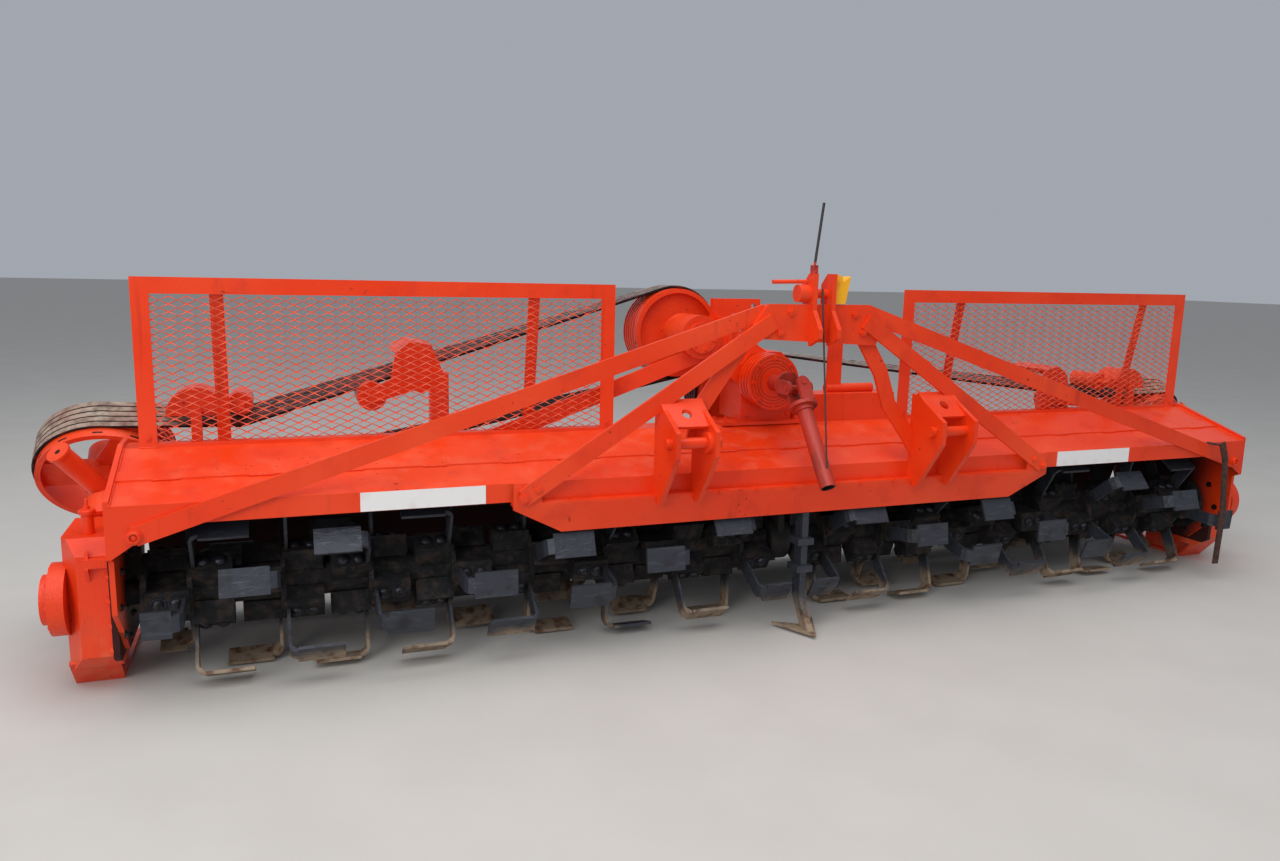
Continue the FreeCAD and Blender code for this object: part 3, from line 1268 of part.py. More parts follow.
# Blank plates on the apron
blank_z = (APRON_TOP_Z + APRON_LOW_Z - PLATE_HIGH) / 2
blanks = []
for side in (-1, 1):
    x0 = side * PLATE_X
    x1 = side * (PLATE_X + PLATE_LONG)
    blank_y0 = APRON_Y - PLATE_THICK
    blanks.append(box(min(x0, x1), max(x0, x1), blank_y0, APRON_Y, blank_z, blank_z + PLATE_HIGH))
parts["blank_plates"] = Part.makeCompound(blanks)

# Put the origin on the ground under the middle of the box, and write the pieces
whole = Part.makeCompound(list(parts.values()))
extent = whole.BoundBox
shift = vec(-(extent.XMin + extent.XMax) / 2, -(extent.YMin + extent.YMax) / 2, -extent.ZMin)
os.makedirs("parts", exist_ok=True)
for name, shape in parts.items():
    shape.translate(shift)
    shape.exportStep("parts/" + name + ".step")
    print(name, len(shape.Solids), shape.isValid(), round(shape.Volume / 1e6, 2))
print("shift", shift, "box", extent)
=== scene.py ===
import math

import bpy
from mathutils import Matrix, Vector


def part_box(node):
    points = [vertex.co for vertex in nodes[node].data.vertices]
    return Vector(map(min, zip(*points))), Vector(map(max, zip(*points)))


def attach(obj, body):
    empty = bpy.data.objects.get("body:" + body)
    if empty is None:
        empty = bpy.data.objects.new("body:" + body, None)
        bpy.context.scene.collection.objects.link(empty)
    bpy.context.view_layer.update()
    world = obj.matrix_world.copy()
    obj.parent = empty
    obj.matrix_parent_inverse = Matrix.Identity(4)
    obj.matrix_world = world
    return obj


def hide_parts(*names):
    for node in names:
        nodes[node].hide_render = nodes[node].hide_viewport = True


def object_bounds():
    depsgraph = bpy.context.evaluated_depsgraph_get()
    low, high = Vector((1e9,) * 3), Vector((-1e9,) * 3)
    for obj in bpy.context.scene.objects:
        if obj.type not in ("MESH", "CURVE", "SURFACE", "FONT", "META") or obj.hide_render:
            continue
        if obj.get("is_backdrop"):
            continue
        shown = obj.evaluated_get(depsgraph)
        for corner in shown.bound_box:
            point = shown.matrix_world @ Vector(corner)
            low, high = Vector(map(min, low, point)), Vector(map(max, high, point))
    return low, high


# A wide rotary tiller for a three-point hitch: a welded hood over two bladed
# rotors, with belt drives behind mesh guards. The frame gives every solid;
# this script gives their finishes and the small pieces on them.
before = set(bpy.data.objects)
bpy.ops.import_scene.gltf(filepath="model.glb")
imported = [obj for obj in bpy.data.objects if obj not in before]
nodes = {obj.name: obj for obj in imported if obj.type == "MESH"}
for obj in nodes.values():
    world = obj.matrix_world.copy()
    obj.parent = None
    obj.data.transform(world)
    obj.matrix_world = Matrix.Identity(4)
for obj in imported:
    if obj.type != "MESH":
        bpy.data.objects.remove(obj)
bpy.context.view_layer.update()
GUARD_FRONT_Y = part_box("guard_frame_left")[0].y


def place(x, y, z):
    """A point given from the guards' front face, as the machine is drawn."""
    return Vector((x, y + GUARD_FRONT_Y, z))


# The hood is bent steel sheet, welded and sprayed orange-red over old dents
# and dirt. Its underside and the inside of its ends were never cleaned; they
# are painted nearly black, as that dirt and as painted shade.
class Shade:
    """A socket of a node tree. Sums on it add Math nodes, so a mask reads as plain maths."""

    def __init__(self, owner, socket):
        self.owner = owner
        self.socket = socket

    def maths(self, operation, *values):
        return self.owner.node("ShaderNodeMath", {"operation": operation}, list(values))

    def __add__(self, other):
        return self.maths("ADD", self, other)

    def __sub__(self, other):
        return self.maths("SUBTRACT", self, other)

    def __rsub__(self, other):
        return self.maths("SUBTRACT", other, self)

    def __mul__(self, other):
        return self.maths("MULTIPLY", self, other)

    def __gt__(self, other):
        return self.maths("GREATER_THAN", self, other)

    def __lt__(self, other):
        return self.maths("LESS_THAN", self, other)

    def __pow__(self, other):
        return self.maths("POWER", self, other)

    __radd__ = __add__

    def magnitude(self):
        return self.maths("ABSOLUTE", self)

    def least(self, other):
        return self.maths("MINIMUM", self, other)

    def most(self, other):
        return self.maths("MAXIMUM", self, other)

    def ramp(self, low, high):
        """0 below low, 1 above high and a smooth rise between."""
        settings = {"interpolation_type": "SMOOTHSTEP"}
        return self.owner.node("ShaderNodeMapRange", settings, [self, low, high, 0.0, 1.0])


class Nodes:
    """A tree whose nodes are all made by one method."""

    tree = None

    def node(self, kind, settings=None, values=(), output=0):
        made = self.tree.nodes.new(kind)
        for key, value in (settings or {}).items():
            setattr(made, key, value)
        pairs = values.items() if isinstance(values, dict) else enumerate(values)
        for key, value in pairs:
            if isinstance(value, Shade):
                self.tree.links.new(value.socket, made.inputs[key])
            elif value is not None:
                made.inputs[key].default_value = value
        return Shade(self, made.outputs[output]) if len(made.outputs) else made


def rgb(red, green, blue):
    """A colour as a screen shows it, made linear."""
    return tuple((c / 255) ** 2.2 for c in (red, green, blue)) + (1.0,)


class Finish(Nodes):
    """A material's nodes."""

    def __init__(self, name):
        self.material = bpy.data.materials.new(name)
        self.material.use_nodes = True
        self.tree = self.material.node_tree
        self.tree.nodes.clear()
        self.at = self.node("ShaderNodeTexCoord", output="Object")
        self.facing = self.node("ShaderNodeTexCoord", output="Normal")
        self.x, self.y, self.z = self.apart(self.at)
        self.right, self.back, self.up = self.apart(self.facing)

    def apart(self, vector):
        """A vector's three numbers."""
        split = self.node("ShaderNodeSeparateXYZ", None, [vector])
        return [Shade(self, end) for end in split.socket.node.outputs]

    def noise(self, scale, detail=3.0, stretch=(1, 1, 1)):
        spread = self.node("ShaderNodeVectorMath", {"operation": "MULTIPLY"}, [self.at, stretch])
        values = {"Vector": spread, "Scale": scale, "Detail": detail}
        return self.node("ShaderNodeTexNoise", None, values)

    def mix(self, share, a, b):
        return self.node("ShaderNodeMix", {"data_type": "RGBA"}, {0: share, 6: a, 7: b}, 2)

    def bump(self, height, depth, strength=1.0):
        return self.node("ShaderNodeBump", None, {"Strength": strength, "Distance": depth, "Height": height})

    def surface(self, colour, roughness, normal=None, metal=0.0, **fixed):
        values = {"Base Color": colour, "Roughness": roughness, "Metallic": metal, "Normal": normal}
        values.update({key.replace("_", " "): value for key, value in fixed.items()})
        shader = self.node("ShaderNodeBsdfPrincipled", None, values)
        self.node("ShaderNodeOutputMaterial", None, {"Surface": shader})
        return self.material


HOOD_HALF = 2.178
END_PLATE = 0.014
PAINT = rgb(230, 60, 22)
PAINT_FADED = rgb(244, 88, 50)
PAINT_DEEP = rgb(172, 30, 12)
DUST = rgb(214, 140, 104)
GRIME = rgb(56, 26, 20)
BLACK_DIRT_AND_SHADE = rgb(22, 20, 22)


def inside_hood(coat):
    """The hood's underside, its ends' inner faces, its rear wall's front and its apron's back, painted nearly
    black as dirt and painted shade.
    """
    under = (coat.up < -0.2) * (coat.x.magnitude() < HOOD_HALF - 0.0005)
    deep = coat.y.ramp(GUARD_FRONT_Y - 0.27, GUARD_FRONT_Y - 0.08)
    ends = (coat.x * coat.right < -1.5) * (coat.z < 0.53) * deep
    rear = (coat.back < -0.45) * (coat.y > GUARD_FRONT_Y)
    apron = (coat.back > 0.9) * (coat.y < GUARD_FRONT_Y - 0.29)
    return under.most(ends).most(rear).most(apron)


def red_paint(name, grain, grain_depth, base=PAINT, dark=None):
    """Sprayed paint: faded patches, settled dust, runs of dirt and chipped spots."""
    coat = Finish(name)
    fade = coat.noise(1.7, 4.0).ramp(0.35, 0.7)
    colour = coat.mix(fade * 0.5, base, PAINT_FADED)
    blotch = coat.noise(9.0, 5.0).ramp(0.5, 0.72)
    colour = coat.mix(blotch * 0.25, colour, PAINT_DEEP)
    level = coat.up.ramp(0.55, 0.95)
    settled = level * coat.noise(14.0, 6.0).ramp(0.45, 0.75)
    colour = coat.mix(settled * 0.12, colour, DUST)
    runs = coat.noise(24.0, 4.0, (1.0, 1.0, 0.06)).ramp(0.6, 0.78)
    colour = coat.mix(runs * (1.0 - level) * 0.25, colour, GRIME)
    chips = coat.noise(60.0, 3.0).ramp(0.66, 0.7) * coat.noise(5.0, 2.0).ramp(0.52, 0.66)
    colour = coat.mix(chips * 0.6, colour, GRIME)
    splash = (1.0 - coat.z.ramp(0.02, 0.3)) * coat.noise(18.0, 5.0).ramp(0.4, 0.7)
    colour = coat.mix(splash * 0.35, colour, DUST)
    roughness = 0.3 + settled * 0.3 + chips * 0.3 + blotch * 0.12 + splash * 0.25 + fade * 0.08
    height = coat.noise(grain, 5.0) + coat.noise(5.0, 2.0) * 2.0 + coat.noise(2.6, 1.0) * 7.0
    # The given mask paints faces nearly black: painted shade, with dirt as well on the hood's inside.
    if dark:
        hidden = dark(coat)
        colour = coat.mix(hidden * 0.96, colour, BLACK_DIRT_AND_SHADE)
        roughness = roughness + hidden * 0.4
        height = height - hidden
    normal = coat.bump(height, grain_depth, 0.6)
    return coat.surface(colour, roughness.least(0.95), normal, Specular_IOR_Level=0.3, Coat_Weight=0.06)


hood_paint = red_paint("hood_paint", 90.0, 0.0012, dark=inside_hood)
bar_paint = red_paint("bar_paint", 120.0, 0.0008)


def wears(material, *names):
    for name in names:
        nodes[name].data.materials.clear()
        nodes[name].data.materials.append(material)


both = ("left", "right")
wears(hood_paint, "deck", "rear_wall", "tail_board", "front_beam")
wears(hood_paint, *["end_plate_" + side for side in both])
for piece in ("guard_frame", "mast_plate", "long_brace", "inner_brace", "leg", "hitch_clevis", "idlers"):
    wears(bar_paint, *[piece + "_" + side for side in both])
wears(bar_paint, "wing_plate", "gearbox_base", "top_link_pin")

# The gearcases, shaft housings, gearbox and sheaves are iron castings under
# the same paint, so their skin is rougher and the paint lies thicker. The gap
# behind each gearcase and the small holes in the caps are painted dark, as
# painted shade.
ROTOR_Z = 0.28
AXLE_Y = -0.1
ROTOR_Y = AXLE_Y + GUARD_FRONT_Y
SHEAVE_TILT = math.radians(36.0)
END_AXIS = Vector((0, math.cos(SHEAVE_TILT), math.sin(SHEAVE_TILT)))
END_R = 0.203
END_OUT_X = 2.270
END_REACH = 0.466
END_CENTRE = place(END_OUT_X, AXLE_Y, ROTOR_Z) + END_AXIS * END_REACH
CASE_FLANGE = 0.018
STUB_HOLE = (place(2.374, 0.120, 0.678), 0.009)
HUB_HOLE = (place(2.395, -0.087, 0.318), 0.007)
SLOTS = 12


def gaps_and_holes(coat):
    """Painted shade on the gap behind each gearcase, and on the hole in each stub cap and hub cap."""
    across = coat.x.magnitude()
    plate_out = HOOD_HALF + END_PLATE
    dark = (across > plate_out - 0.002) * (across < plate_out + CASE_FLANGE - 0.0002) * (coat.z > 0.1)
    folded = coat.node("ShaderNodeCombineXYZ", None, [across, coat.y, coat.z])
    for spot, size in (STUB_HOLE, HUB_HOLE):
        gone = coat.node("ShaderNodeVectorMath", {"operation": "DISTANCE"}, [folded, tuple(spot)], "Value")
        dark = dark.most(gone < size)
    return dark


def lip_slots(coat):
    """Painted shade for slots through the end sheaves' lower lip, evenly round each."""
    out = coat.x.magnitude() - END_OUT_X
    back = coat.y - END_CENTRE.y
    up = coat.z - END_CENTRE.z
    depth = back * END_AXIS.y + up * END_AXIS.z
    over = up * END_AXIS.y - back * END_AXIS.z
    angle = over.maths("ARCTAN2", over, out)
    wave = angle.maths("COSINE", angle * float(SLOTS))
    far = (out * out + over * over) > (END_R - 0.004) * (END_R - 0.004)
    return (wave > 0.66) * (depth > 0.011) * (depth < 0.018) * far


casting_paint = red_paint("casting_paint", 210.0, 0.003, dark=gaps_and_holes)
sheave_paint = red_paint("sheave_paint", 210.0, 0.003, dark=lip_slots)
for piece in ("gearcase", "skid", "shaft_housing"):
    wears(casting_paint, *[piece + "_" + side for side in both])
wears(casting_paint, "gearbox", "sheave_upper", "sheave_lower")
wears(sheave_paint, "sheave_left_end", "sheave_right_end")

# The clutch is cast with rings on its face and painted with the gearbox. The
# cross joint and the open tube of the half shaft hang from it in old paint,
# worn to rust and greasy round the cross.
INPUT_Z = 0.868
RING_WAVE = 520.0
RINGS_FROM_R = 0.048
RINGS_TO_R = 0.1
CROSS_AT = place(0, -0.245, INPUT_Z)
TUBE_END = place(0, -0.478, 0.555)


def clutch_rings(coat):
    """Painted shade in the grooves between the rings on the clutch's face."""
    up = coat.z - INPUT_Z
    radius = (coat.x * coat.x + up * up) ** 0.5
    wave = radius.maths("SINE", radius * RING_WAVE)
    return (wave < -0.35) * (radius > RINGS_FROM_R) * (radius < RINGS_TO_R) * (coat.back < -0.8) * 0.4


clutch_paint = red_paint("clutch_paint", 190.0, 0.003, dark=clutch_rings)
wears(clutch_paint, "slip_clutch")
tube = Finish("driveline_paint")
scuff = tube.noise(40.0, 5.0, (1.0, 0.2, 0.2)).ramp(0.5, 0.66)
colour = tube.mix(scuff * 0.5, rgb(176, 50, 34), rgb(92, 44, 34))
grease = tube.noise(9.0, 4.0).ramp(0.55, 0.7) * (tube.z > 0.79)
colour = tube.mix(grease * 0.6, colour, rgb(34, 22, 20))
tube_way = (TUBE_END - CROSS_AT).normalized()
back = tube.y - CROSS_AT.y
up = tube.z - CROSS_AT.z
down_tube = back * tube_way.y + up * tube_way.z
back = back - down_tube * tube_way.y
up = up - down_tube * tube_way.z
# The open tube's inner face is painted nearly black, as painted shade inside the tube.
inside = (tube.right * tube.x + tube.back * back + tube.up * up < -0.005) * (down_tube > 0.24)
colour = tube.mix(inside, colour, BLACK_DIRT_AND_SHADE)
driveline_paint = tube.surface(colour, 0.46 + scuff * 0.25, tube.bump(tube.noise(120.0, 4.0), 0.001))
wears(driveline_paint, "universal_joint", "pto_tube")

# The rotors, the shank and the sweep are forged and flame-cut steel, painted
# blue-black. Soil cakes the clamp blocks round the tube, painted nearly black
# as soil and painted shade, and the lowest blades have lost their paint to the soil.
tine = Finish("tine_steel")
back = tine.y - ROTOR_Y
up = tine.z - ROTOR_Z
radius = (back * back + up * up) ** 0.5
scratches = tine.noise(70.0, 5.0, (0.25, 1.0, 1.0)).ramp(0.52, 0.7)
colour = tine.mix(scratches * 0.3, rgb(54, 57, 65), rgb(88, 90, 94))
mud = tine.noise(16.0, 6.0).ramp(0.52, 0.7)
colour = tine.mix(mud * 0.5, colour, rgb(34, 29, 28))
caked_and_shaded = 1.0 - radius.ramp(0.122, 0.165)
crust_and_shade = tine.mix(tine.noise(26.0, 6.0).ramp(0.45, 0.68), rgb(20, 19, 21), rgb(58, 46, 38))
colour = tine.mix(caked_and_shaded * 0.9, colour, crust_and_shade)
bare = (1.0 - (tine.z + tine.noise(9.0, 4.0) * 0.12).ramp(0.12, 0.2)) * tine.noise(2.3, 1.0).ramp(0.3, 0.42)
worn = tine.mix(tine.noise(30.0, 5.0).ramp(0.42, 0.72), rgb(158, 138, 116), rgb(96, 62, 44))
colour = tine.mix(bare, colour, worn)
height = tine.noise(45.0, 6.0) + scratches * 0.3 + caked_and_shaded * tine.noise(60.0, 6.0) * 2.0
roughness = 0.5 - scratches * 0.12 + bare * 0.12 + mud * 0.2 + caked_and_shaded * 0.3
tine_steel = tine.surface(colour, roughness.least(0.95), tine.bump(height, 0.003), 0.25)
wears(tine_steel, "rotor_left", "rotor_right", "shank", "sweep")
# The centre bearing hanger is painted nearly black, as caked soil and painted shade under the hood.
core = Finish("hanger_dirt_and_shade")
caked_and_shaded = core.noise(12.0, 6.0)
hanger_dirt_and_shade = core.surface(
    core.mix(caked_and_shaded.ramp(0.4, 0.7), rgb(20, 19, 21), rgb(52, 44, 40)), 0.85, core.bump(caked_and_shaded, 0.006)
)
wears(hanger_dirt_and_shade, "centre_bearing_hanger")

# Each half is driven by five V-belts side by side, fabric-backed rubber gone
# grey with dust. Their tops are painted paler as sky light, and the rest
# darker as painted shade. They run over the end sheave, under the roller,
# round the middle sheave and back, and twist on the way.
BACKWARD = Vector((0, 1, 0))
RIGHT = Vector((1, 0, 0))
MIDDLE_R = 0.172
LIP = 0.028
BAND = 0.120
BELTS = 5
BELT_THICK = 0.011
BELT_AIR = 0.001
BELT_MARGIN = 0.002
KINK_X = 1.850
KINK_Z = 0.752
MIDDLE_CENTRES = {"left": place(-0.262, 0.250, 1.030), "right": place(0.020, 0.250, 0.780)}
WRAP_STEPS = 26
RUN_STEPS = 10


def outward_way(axis, angle):
    return RIGHT * math.cos(angle) + axis.cross(-RIGHT).normalized() * math.sin(angle)


def touch_angle(centre, axis, radius, point, above):
    """Where a straight run from a point touches a sheave."""
    step = point - centre
    flat = Vector((step.dot(RIGHT), step.dot(axis.cross(-RIGHT).normalized())))
    towards = math.atan2(flat.y, flat.x)
    opening = math.acos(radius / flat.length)
    return sorted((towards + opening, towards - opening), key=math.sin)[1 if above else 0]


def wrap_stations(centre, axis, radius, start, stop, through):
    """Stations round a sheave between two angles, by way of a third."""
    turn = (stop - start) % (2 * math.pi)
    if (through - start) % (2 * math.pi) > turn:
        turn -= 2 * math.pi
    stations = []
    for step in range(WRAP_STEPS + 1):
        out = outward_way(axis, start + turn * step / WRAP_STEPS)
        stations.append((centre + axis * LIP + out * (radius + BELT_AIR), axis, out))
    return stations


def run_stations(a, b):
    """Stations between two others, where the belts run straight and twist."""
    between = []
    for step in range(1, RUN_STEPS):
        share = step / RUN_STEPS
        between.append(tuple(p.lerp(q, share) for p, q in zip(a, b)))
    return between


def belt_stations(side):
    """A half's belts all the way round: at each station a point, the way across and the way out."""
    sign = -1 if side == "left" else 1
    end = Vector((sign * END_CENTRE.x, END_CENTRE.y, END_CENTRE.z))
    middle = MIDDLE_CENTRES[side]
    share = (END_OUT_X - KINK_X) / (END_OUT_X - sign * middle.x)
    end_y = end.y + LIP * END_AXIS.y - END_R * END_AXIS.z
    kink = Vector((sign * KINK_X, (1 - share) * end_y + share * (middle.y + LIP), KINK_Z))
    end_top = touch_angle(end, END_AXIS, END_R, kink + BACKWARD * BAND, True)
    middle_top = touch_angle(middle, BACKWARD, MIDDLE_R, kink, True)
    end_low = touch_angle(end, END_AXIS, END_R, middle, False)
    middle_low = touch_angle(middle, BACKWARD, MIDDLE_R, end, False)
    outer = 0.0 if sign > 0 else math.pi
    over_end = wrap_stations(end, END_AXIS, END_R, end_top, end_low, outer)
    over_middle = wrap_stations(middle, BACKWARD, MIDDLE_R, middle_low, middle_top, math.pi - outer)
    # At the roller the belts stand part-way through their twist
    bend = (kink + Vector((0, 0.006, -0.034)), Vector((0, 0.9, 0.436)), Vector((0, -0.436, 0.9)))
    return (
        over_end
        + run_stations(over_end[-1], over_middle[0])
        + over_middle
        + run_stations(over_middle[-1], bend)
        + [bend]
        + run_stations(bend, over_end[0])
    )


def new_piece(name, points, faces, *materials):
    mesh = bpy.data.meshes.new(name)
    mesh.from_pydata([tuple(p) for p in points], [], faces)
    for material in materials:
        mesh.materials.append(material)
    piece = bpy.data.objects.new(name, mesh)
    bpy.context.scene.collection.objects.link(piece)
    return piece


belt = Finish("belt_backs")
dusty = belt.noise(38.0, 5.0).ramp(0.3, 0.65)
near_end = belt.x.magnitude().ramp(1.9, 2.12)
tan = belt.mix(dusty, rgb(112, 98, 88), rgb(166, 152, 136))
shaded_brown = belt.mix(dusty, rgb(46, 30, 32), rgb(98, 62, 58))
sky_lit_pale = belt.mix(dusty, rgb(120, 112, 106), rgb(176, 168, 160))
# Faces turned up take the pale colour as painted sky light, the rest the brown as painted shade.
colour = belt.mix(near_end, belt.mix(belt.up.ramp(0.93, 0.98), shaded_brown, sky_lit_pale), tan)
overspray = belt.noise(3.0, 3.0).ramp(0.48, 0.66)
colour = belt.mix(overspray * 0.35, colour, rgb(132, 44, 36))
belt_backs = belt.surface(colour, 0.88, belt.bump(belt.noise(500.0, 2.0) + dusty * 0.5, 0.0008))
flank = Finish("belt_flanks")
belt_flanks = flank.surface(
    flank.mix(flank.noise(30.0, 4.0).ramp(0.45, 0.7), rgb(24, 18, 18), rgb(92, 36, 30)), 0.9,
    flank.bump(flank.noise(260.0, 2.0), 0.001),
)

BELT_PITCH = (BAND - 2 * BELT_MARGIN) / BELTS
PROFILE = (
    (0.16, 0.0), (0.84, 0.0), (0.955, 0.72), (0.90, 0.95),
    (0.70, 1.0), (0.30, 1.0), (0.10, 0.95), (0.045, 0.72),
)
for side in both:
    stations = belt_stations(side)
    points = []
    faces = []
    around = len(PROFILE)
    for strand in range(BELTS):
        first = len(points)
        for base, across, out in stations:
            across = across.normalized()
            out = out.normalized()
            for share, rise in PROFILE:
                offset = BELT_MARGIN + (strand + share) * BELT_PITCH
                points.append(base + across * offset + out * (rise * BELT_THICK))
        for ring in range(len(stations)):
            here = first + ring * around
            after = first + (ring + 1) % len(stations) * around
            for corner in range(around):
                beside = (corner + 1) % around
                faces.append((here + corner, here + beside, after + beside, after + corner))
    strands = new_piece("v_belts_" + side, points, faces, belt_backs, belt_flanks)
    for face, polygon in enumerate(strands.data.polygons):
        polygon.material_index = 0 if face % around in (3, 4, 5) else 1
        polygon.use_smooth = True
    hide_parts("belts_" + side)
    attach(strands, "frame")


# The guards are flat-bar frames filled with expanded metal, 3/4 inch
# diamonds whose strands stand a little out of flat, sprayed with the frame.
class Recipe(Nodes):
    """A Geometry Nodes tree with named sizes, run once to give a plain mesh."""

    def __init__(self, name, **sizes):
        self.tree = bpy.data.node_groups.new(name, "GeometryNodeTree")
        face = self.tree.interface
        face.new_socket("Geometry", in_out="INPUT", socket_type="NodeSocketGeometry")
        face.new_socket("Geometry", in_out="OUTPUT", socket_type="NodeSocketGeometry")
        for label, value in sizes.items():
            socket = face.new_socket(label, in_out="INPUT", socket_type="NodeSocketFloat")
            socket.default_value = value
        socket = face.new_socket("Coat", in_out="INPUT", socket_type="NodeSocketMaterial")
        self.coat_key = socket.identifier
        self.given = self.tree.nodes.new("NodeGroupInput")

    def size(self, label):
        return Shade(self, self.given.outputs[label])

    def attribute(self, label, kind):
        return self.node("GeometryNodeInputNamedAttribute", {"data_type": kind}, {"Name": label})

    def repeats(self, instance, rotation=None, scale=None):
        """The instance on each of the carrier's points, made real and coated."""
        values = {"Instance": instance, "Rotation": rotation, "Scale": scale}
        values["Points"] = Shade(self, self.given.outputs[0])
        many = self.node("GeometryNodeInstanceOnPoints", None, values)
        real = self.node("GeometryNodeRealizeInstances", None, [many])
        coated = self.node("GeometryNodeSetMaterial", None, {"Geometry": real, "Material": self.size("Coat")})
        self.node("NodeGroupOutput", None, [coated])

    def run(self, name, carrier, coat):
        """A plain mesh piece made from the carrier's points, which are removed."""
        modifier = carrier.modifiers.new("recipe", "NODES")
        modifier.node_group = self.tree
        modifier[self.coat_key] = coat
        bpy.context.view_layer.update()
        seen = carrier.evaluated_get(bpy.context.evaluated_depsgraph_get())
        mesh = bpy.data.meshes.new_from_object(seen)
        carrier.modifiers.remove(modifier)
        bpy.data.objects.remove(carrier)
        mesh.name = name
        piece = bpy.data.objects.new(name, mesh)
        bpy.context.scene.collection.objects.link(piece)
        return piece


MESH_LONG = 0.0508
MESH_HIGH = 0.0234
lattice = Recipe("expanded_metal", Strand=0.0038, Sheet=0.003, Twist=0.45)
diamond = lattice.node(
    "GeometryNodeCurvePrimitiveQuadrilateral", {"mode": "KITE"},
    {"Width": MESH_LONG, "Bottom Height": MESH_HIGH / 2, "Top Height": MESH_HIGH / 2},
)
diamond = lattice.node("GeometryNodeSetCurveTilt", None, {"Curve": diamond, "Tilt": lattice.size("Twist")})
section = lattice.node(
    "GeometryNodeCurvePrimitiveQuadrilateral", {"mode": "RECTANGLE"},
    {"Width": lattice.size("Strand"), "Height": lattice.size("Sheet")},
)
strand = lattice.node("GeometryNodeCurveToMesh", None, {"Curve": diamond, "Profile Curve": section})
upright = lattice.node("GeometryNodeTransform", None, {"Geometry": strand, "Rotation": (math.pi / 2, 0, 0)})
lattice.repeats(upright)
# The mesh's base is lighter than the frame's paint: a painted highlight on the thin strands.
mesh_paint = red_paint("mesh_paint", 300.0, 0.0006, base=rgb(234, 104, 78))
for side in both:
    low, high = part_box("guard_mesh_" + side)
    middle = (low + high) / 2
    across = int((high.x - low.x) / MESH_LONG)
    up = int((high.z - low.z) / MESH_HIGH)
    spots = []
    for column in range(across):
        for row in range(up):
            dx = (column - (across - 1) / 2) * MESH_LONG
            dz = (row - (up - 1) / 2) * MESH_HIGH
            spots.append((middle.x + dx, middle.y, middle.z + dz))
    grid = new_piece("grid", spots, [])
    screen = lattice.run("expanded_metal_" + side, grid, mesh_paint)
    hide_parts("guard_mesh_" + side)
    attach(screen, "frame")


# Hexagon bolts hold the castings and the braces, and are sprayed over with
# them. Round-headed ones of dark steel hold the blades. Each has a washer.
def washer_of(recipe):
    values = {"Vertices": 14, "Radius": recipe.size("Washer"), "Depth": 0.3}
    return recipe.node("GeometryNodeMeshCylinder", None, values, "Mesh")


def joined(recipe, *solids):
    bolt = recipe.tree.nodes.new("GeometryNodeJoinGeometry")
    for part in solids:
        recipe.tree.links.new(part.socket, bolt.inputs[0])
    return Shade(recipe, bolt.outputs[0])


def stand_on_points(recipe, bolt):
    facing = {"Vector": recipe.attribute("facing", "FLOAT_VECTOR")}
    turned_up = recipe.node("FunctionNodeAlignRotationToVector", {"axis": "Z"}, facing)
    recipe.repeats(bolt, turned_up, recipe.attribute("reach", "FLOAT"))


hexagon = Recipe("hexagon_bolts", Head=0.62, Washer=1.3)
head = hexagon.node(
    "GeometryNodeMeshCylinder", None,
    {"Vertices": 6, "Radius": 1.0, "Depth": hexagon.size("Head")}, "Mesh",
)
raised = hexagon.node("ShaderNodeCombineXYZ", None, [0.0, 0.0, hexagon.size("Head") * 0.5 + 0.15])
head = hexagon.node("GeometryNodeTransform", None, {"Geometry": head, "Translation": raised})
end = hexagon.node("GeometryNodeMeshCylinder", None, {"Vertices": 8, "Radius": 0.5, "Depth": 0.3}, "Mesh")
tip = hexagon.node("ShaderNodeCombineXYZ", None, [0.0, 0.0, hexagon.size("Head") + 0.22])
end = hexagon.node("GeometryNodeTransform", None, {"Geometry": end, "Translation": tip})
stand_on_points(hexagon, joined(hexagon, end, washer_of(hexagon), head))

domed = Recipe("round_head_bolts", Head=0.7, Washer=1.15)
head = domed.node("GeometryNodeMeshUVSphere", None, {"Segments": 12, "Rings": 7, "Radius": 1.0}, "Mesh")
squash = domed.node("ShaderNodeCombineXYZ", None, [1.0, 1.0, domed.size("Head")])
head = domed.node("GeometryNodeTransform", None, {"Geometry": head, "Scale": squash})
head = domed.node("GeometryNodeSetShadeSmooth", None, {"Geometry": head})
stand_on_points(domed, joined(domed, head, washer_of(domed)))


def bolt_on(name, body, material, spots, recipe=hexagon):
    """Bolts at (point, way that the head faces, head's radius)."""
    carrier = new_piece("spots", [s[0] for s in spots], [])
    facing = carrier.data.attributes.new("facing", "FLOAT_VECTOR", "POINT")
    facing.data.foreach_set("vector", [c for s in spots for c in s[1]])
    reach = carrier.data.attributes.new("reach", "FLOAT", "POINT")
    reach.data.foreach_set("value", [s[2] for s in spots])
    piece = recipe.run(name, carrier, material)
    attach(piece, body)


def round_spots(centre, axis, radius, count, size):
    """Places for a ring of bolts, evenly round an axis."""
    side = axis.orthogonal().normalized()
    other = axis.cross(side)
    spots = []
    for step in range(count):
        angle = 2 * math.pi * step / count
        spot = centre + side * (radius * math.cos(angle)) + other * (radius * math.sin(angle))
        spots.append((spot, axis, size))
    return spots


def row_of(first, pitch, count):
    """Places evenly along a row."""
    return [first + step * pitch for step in range(count)]


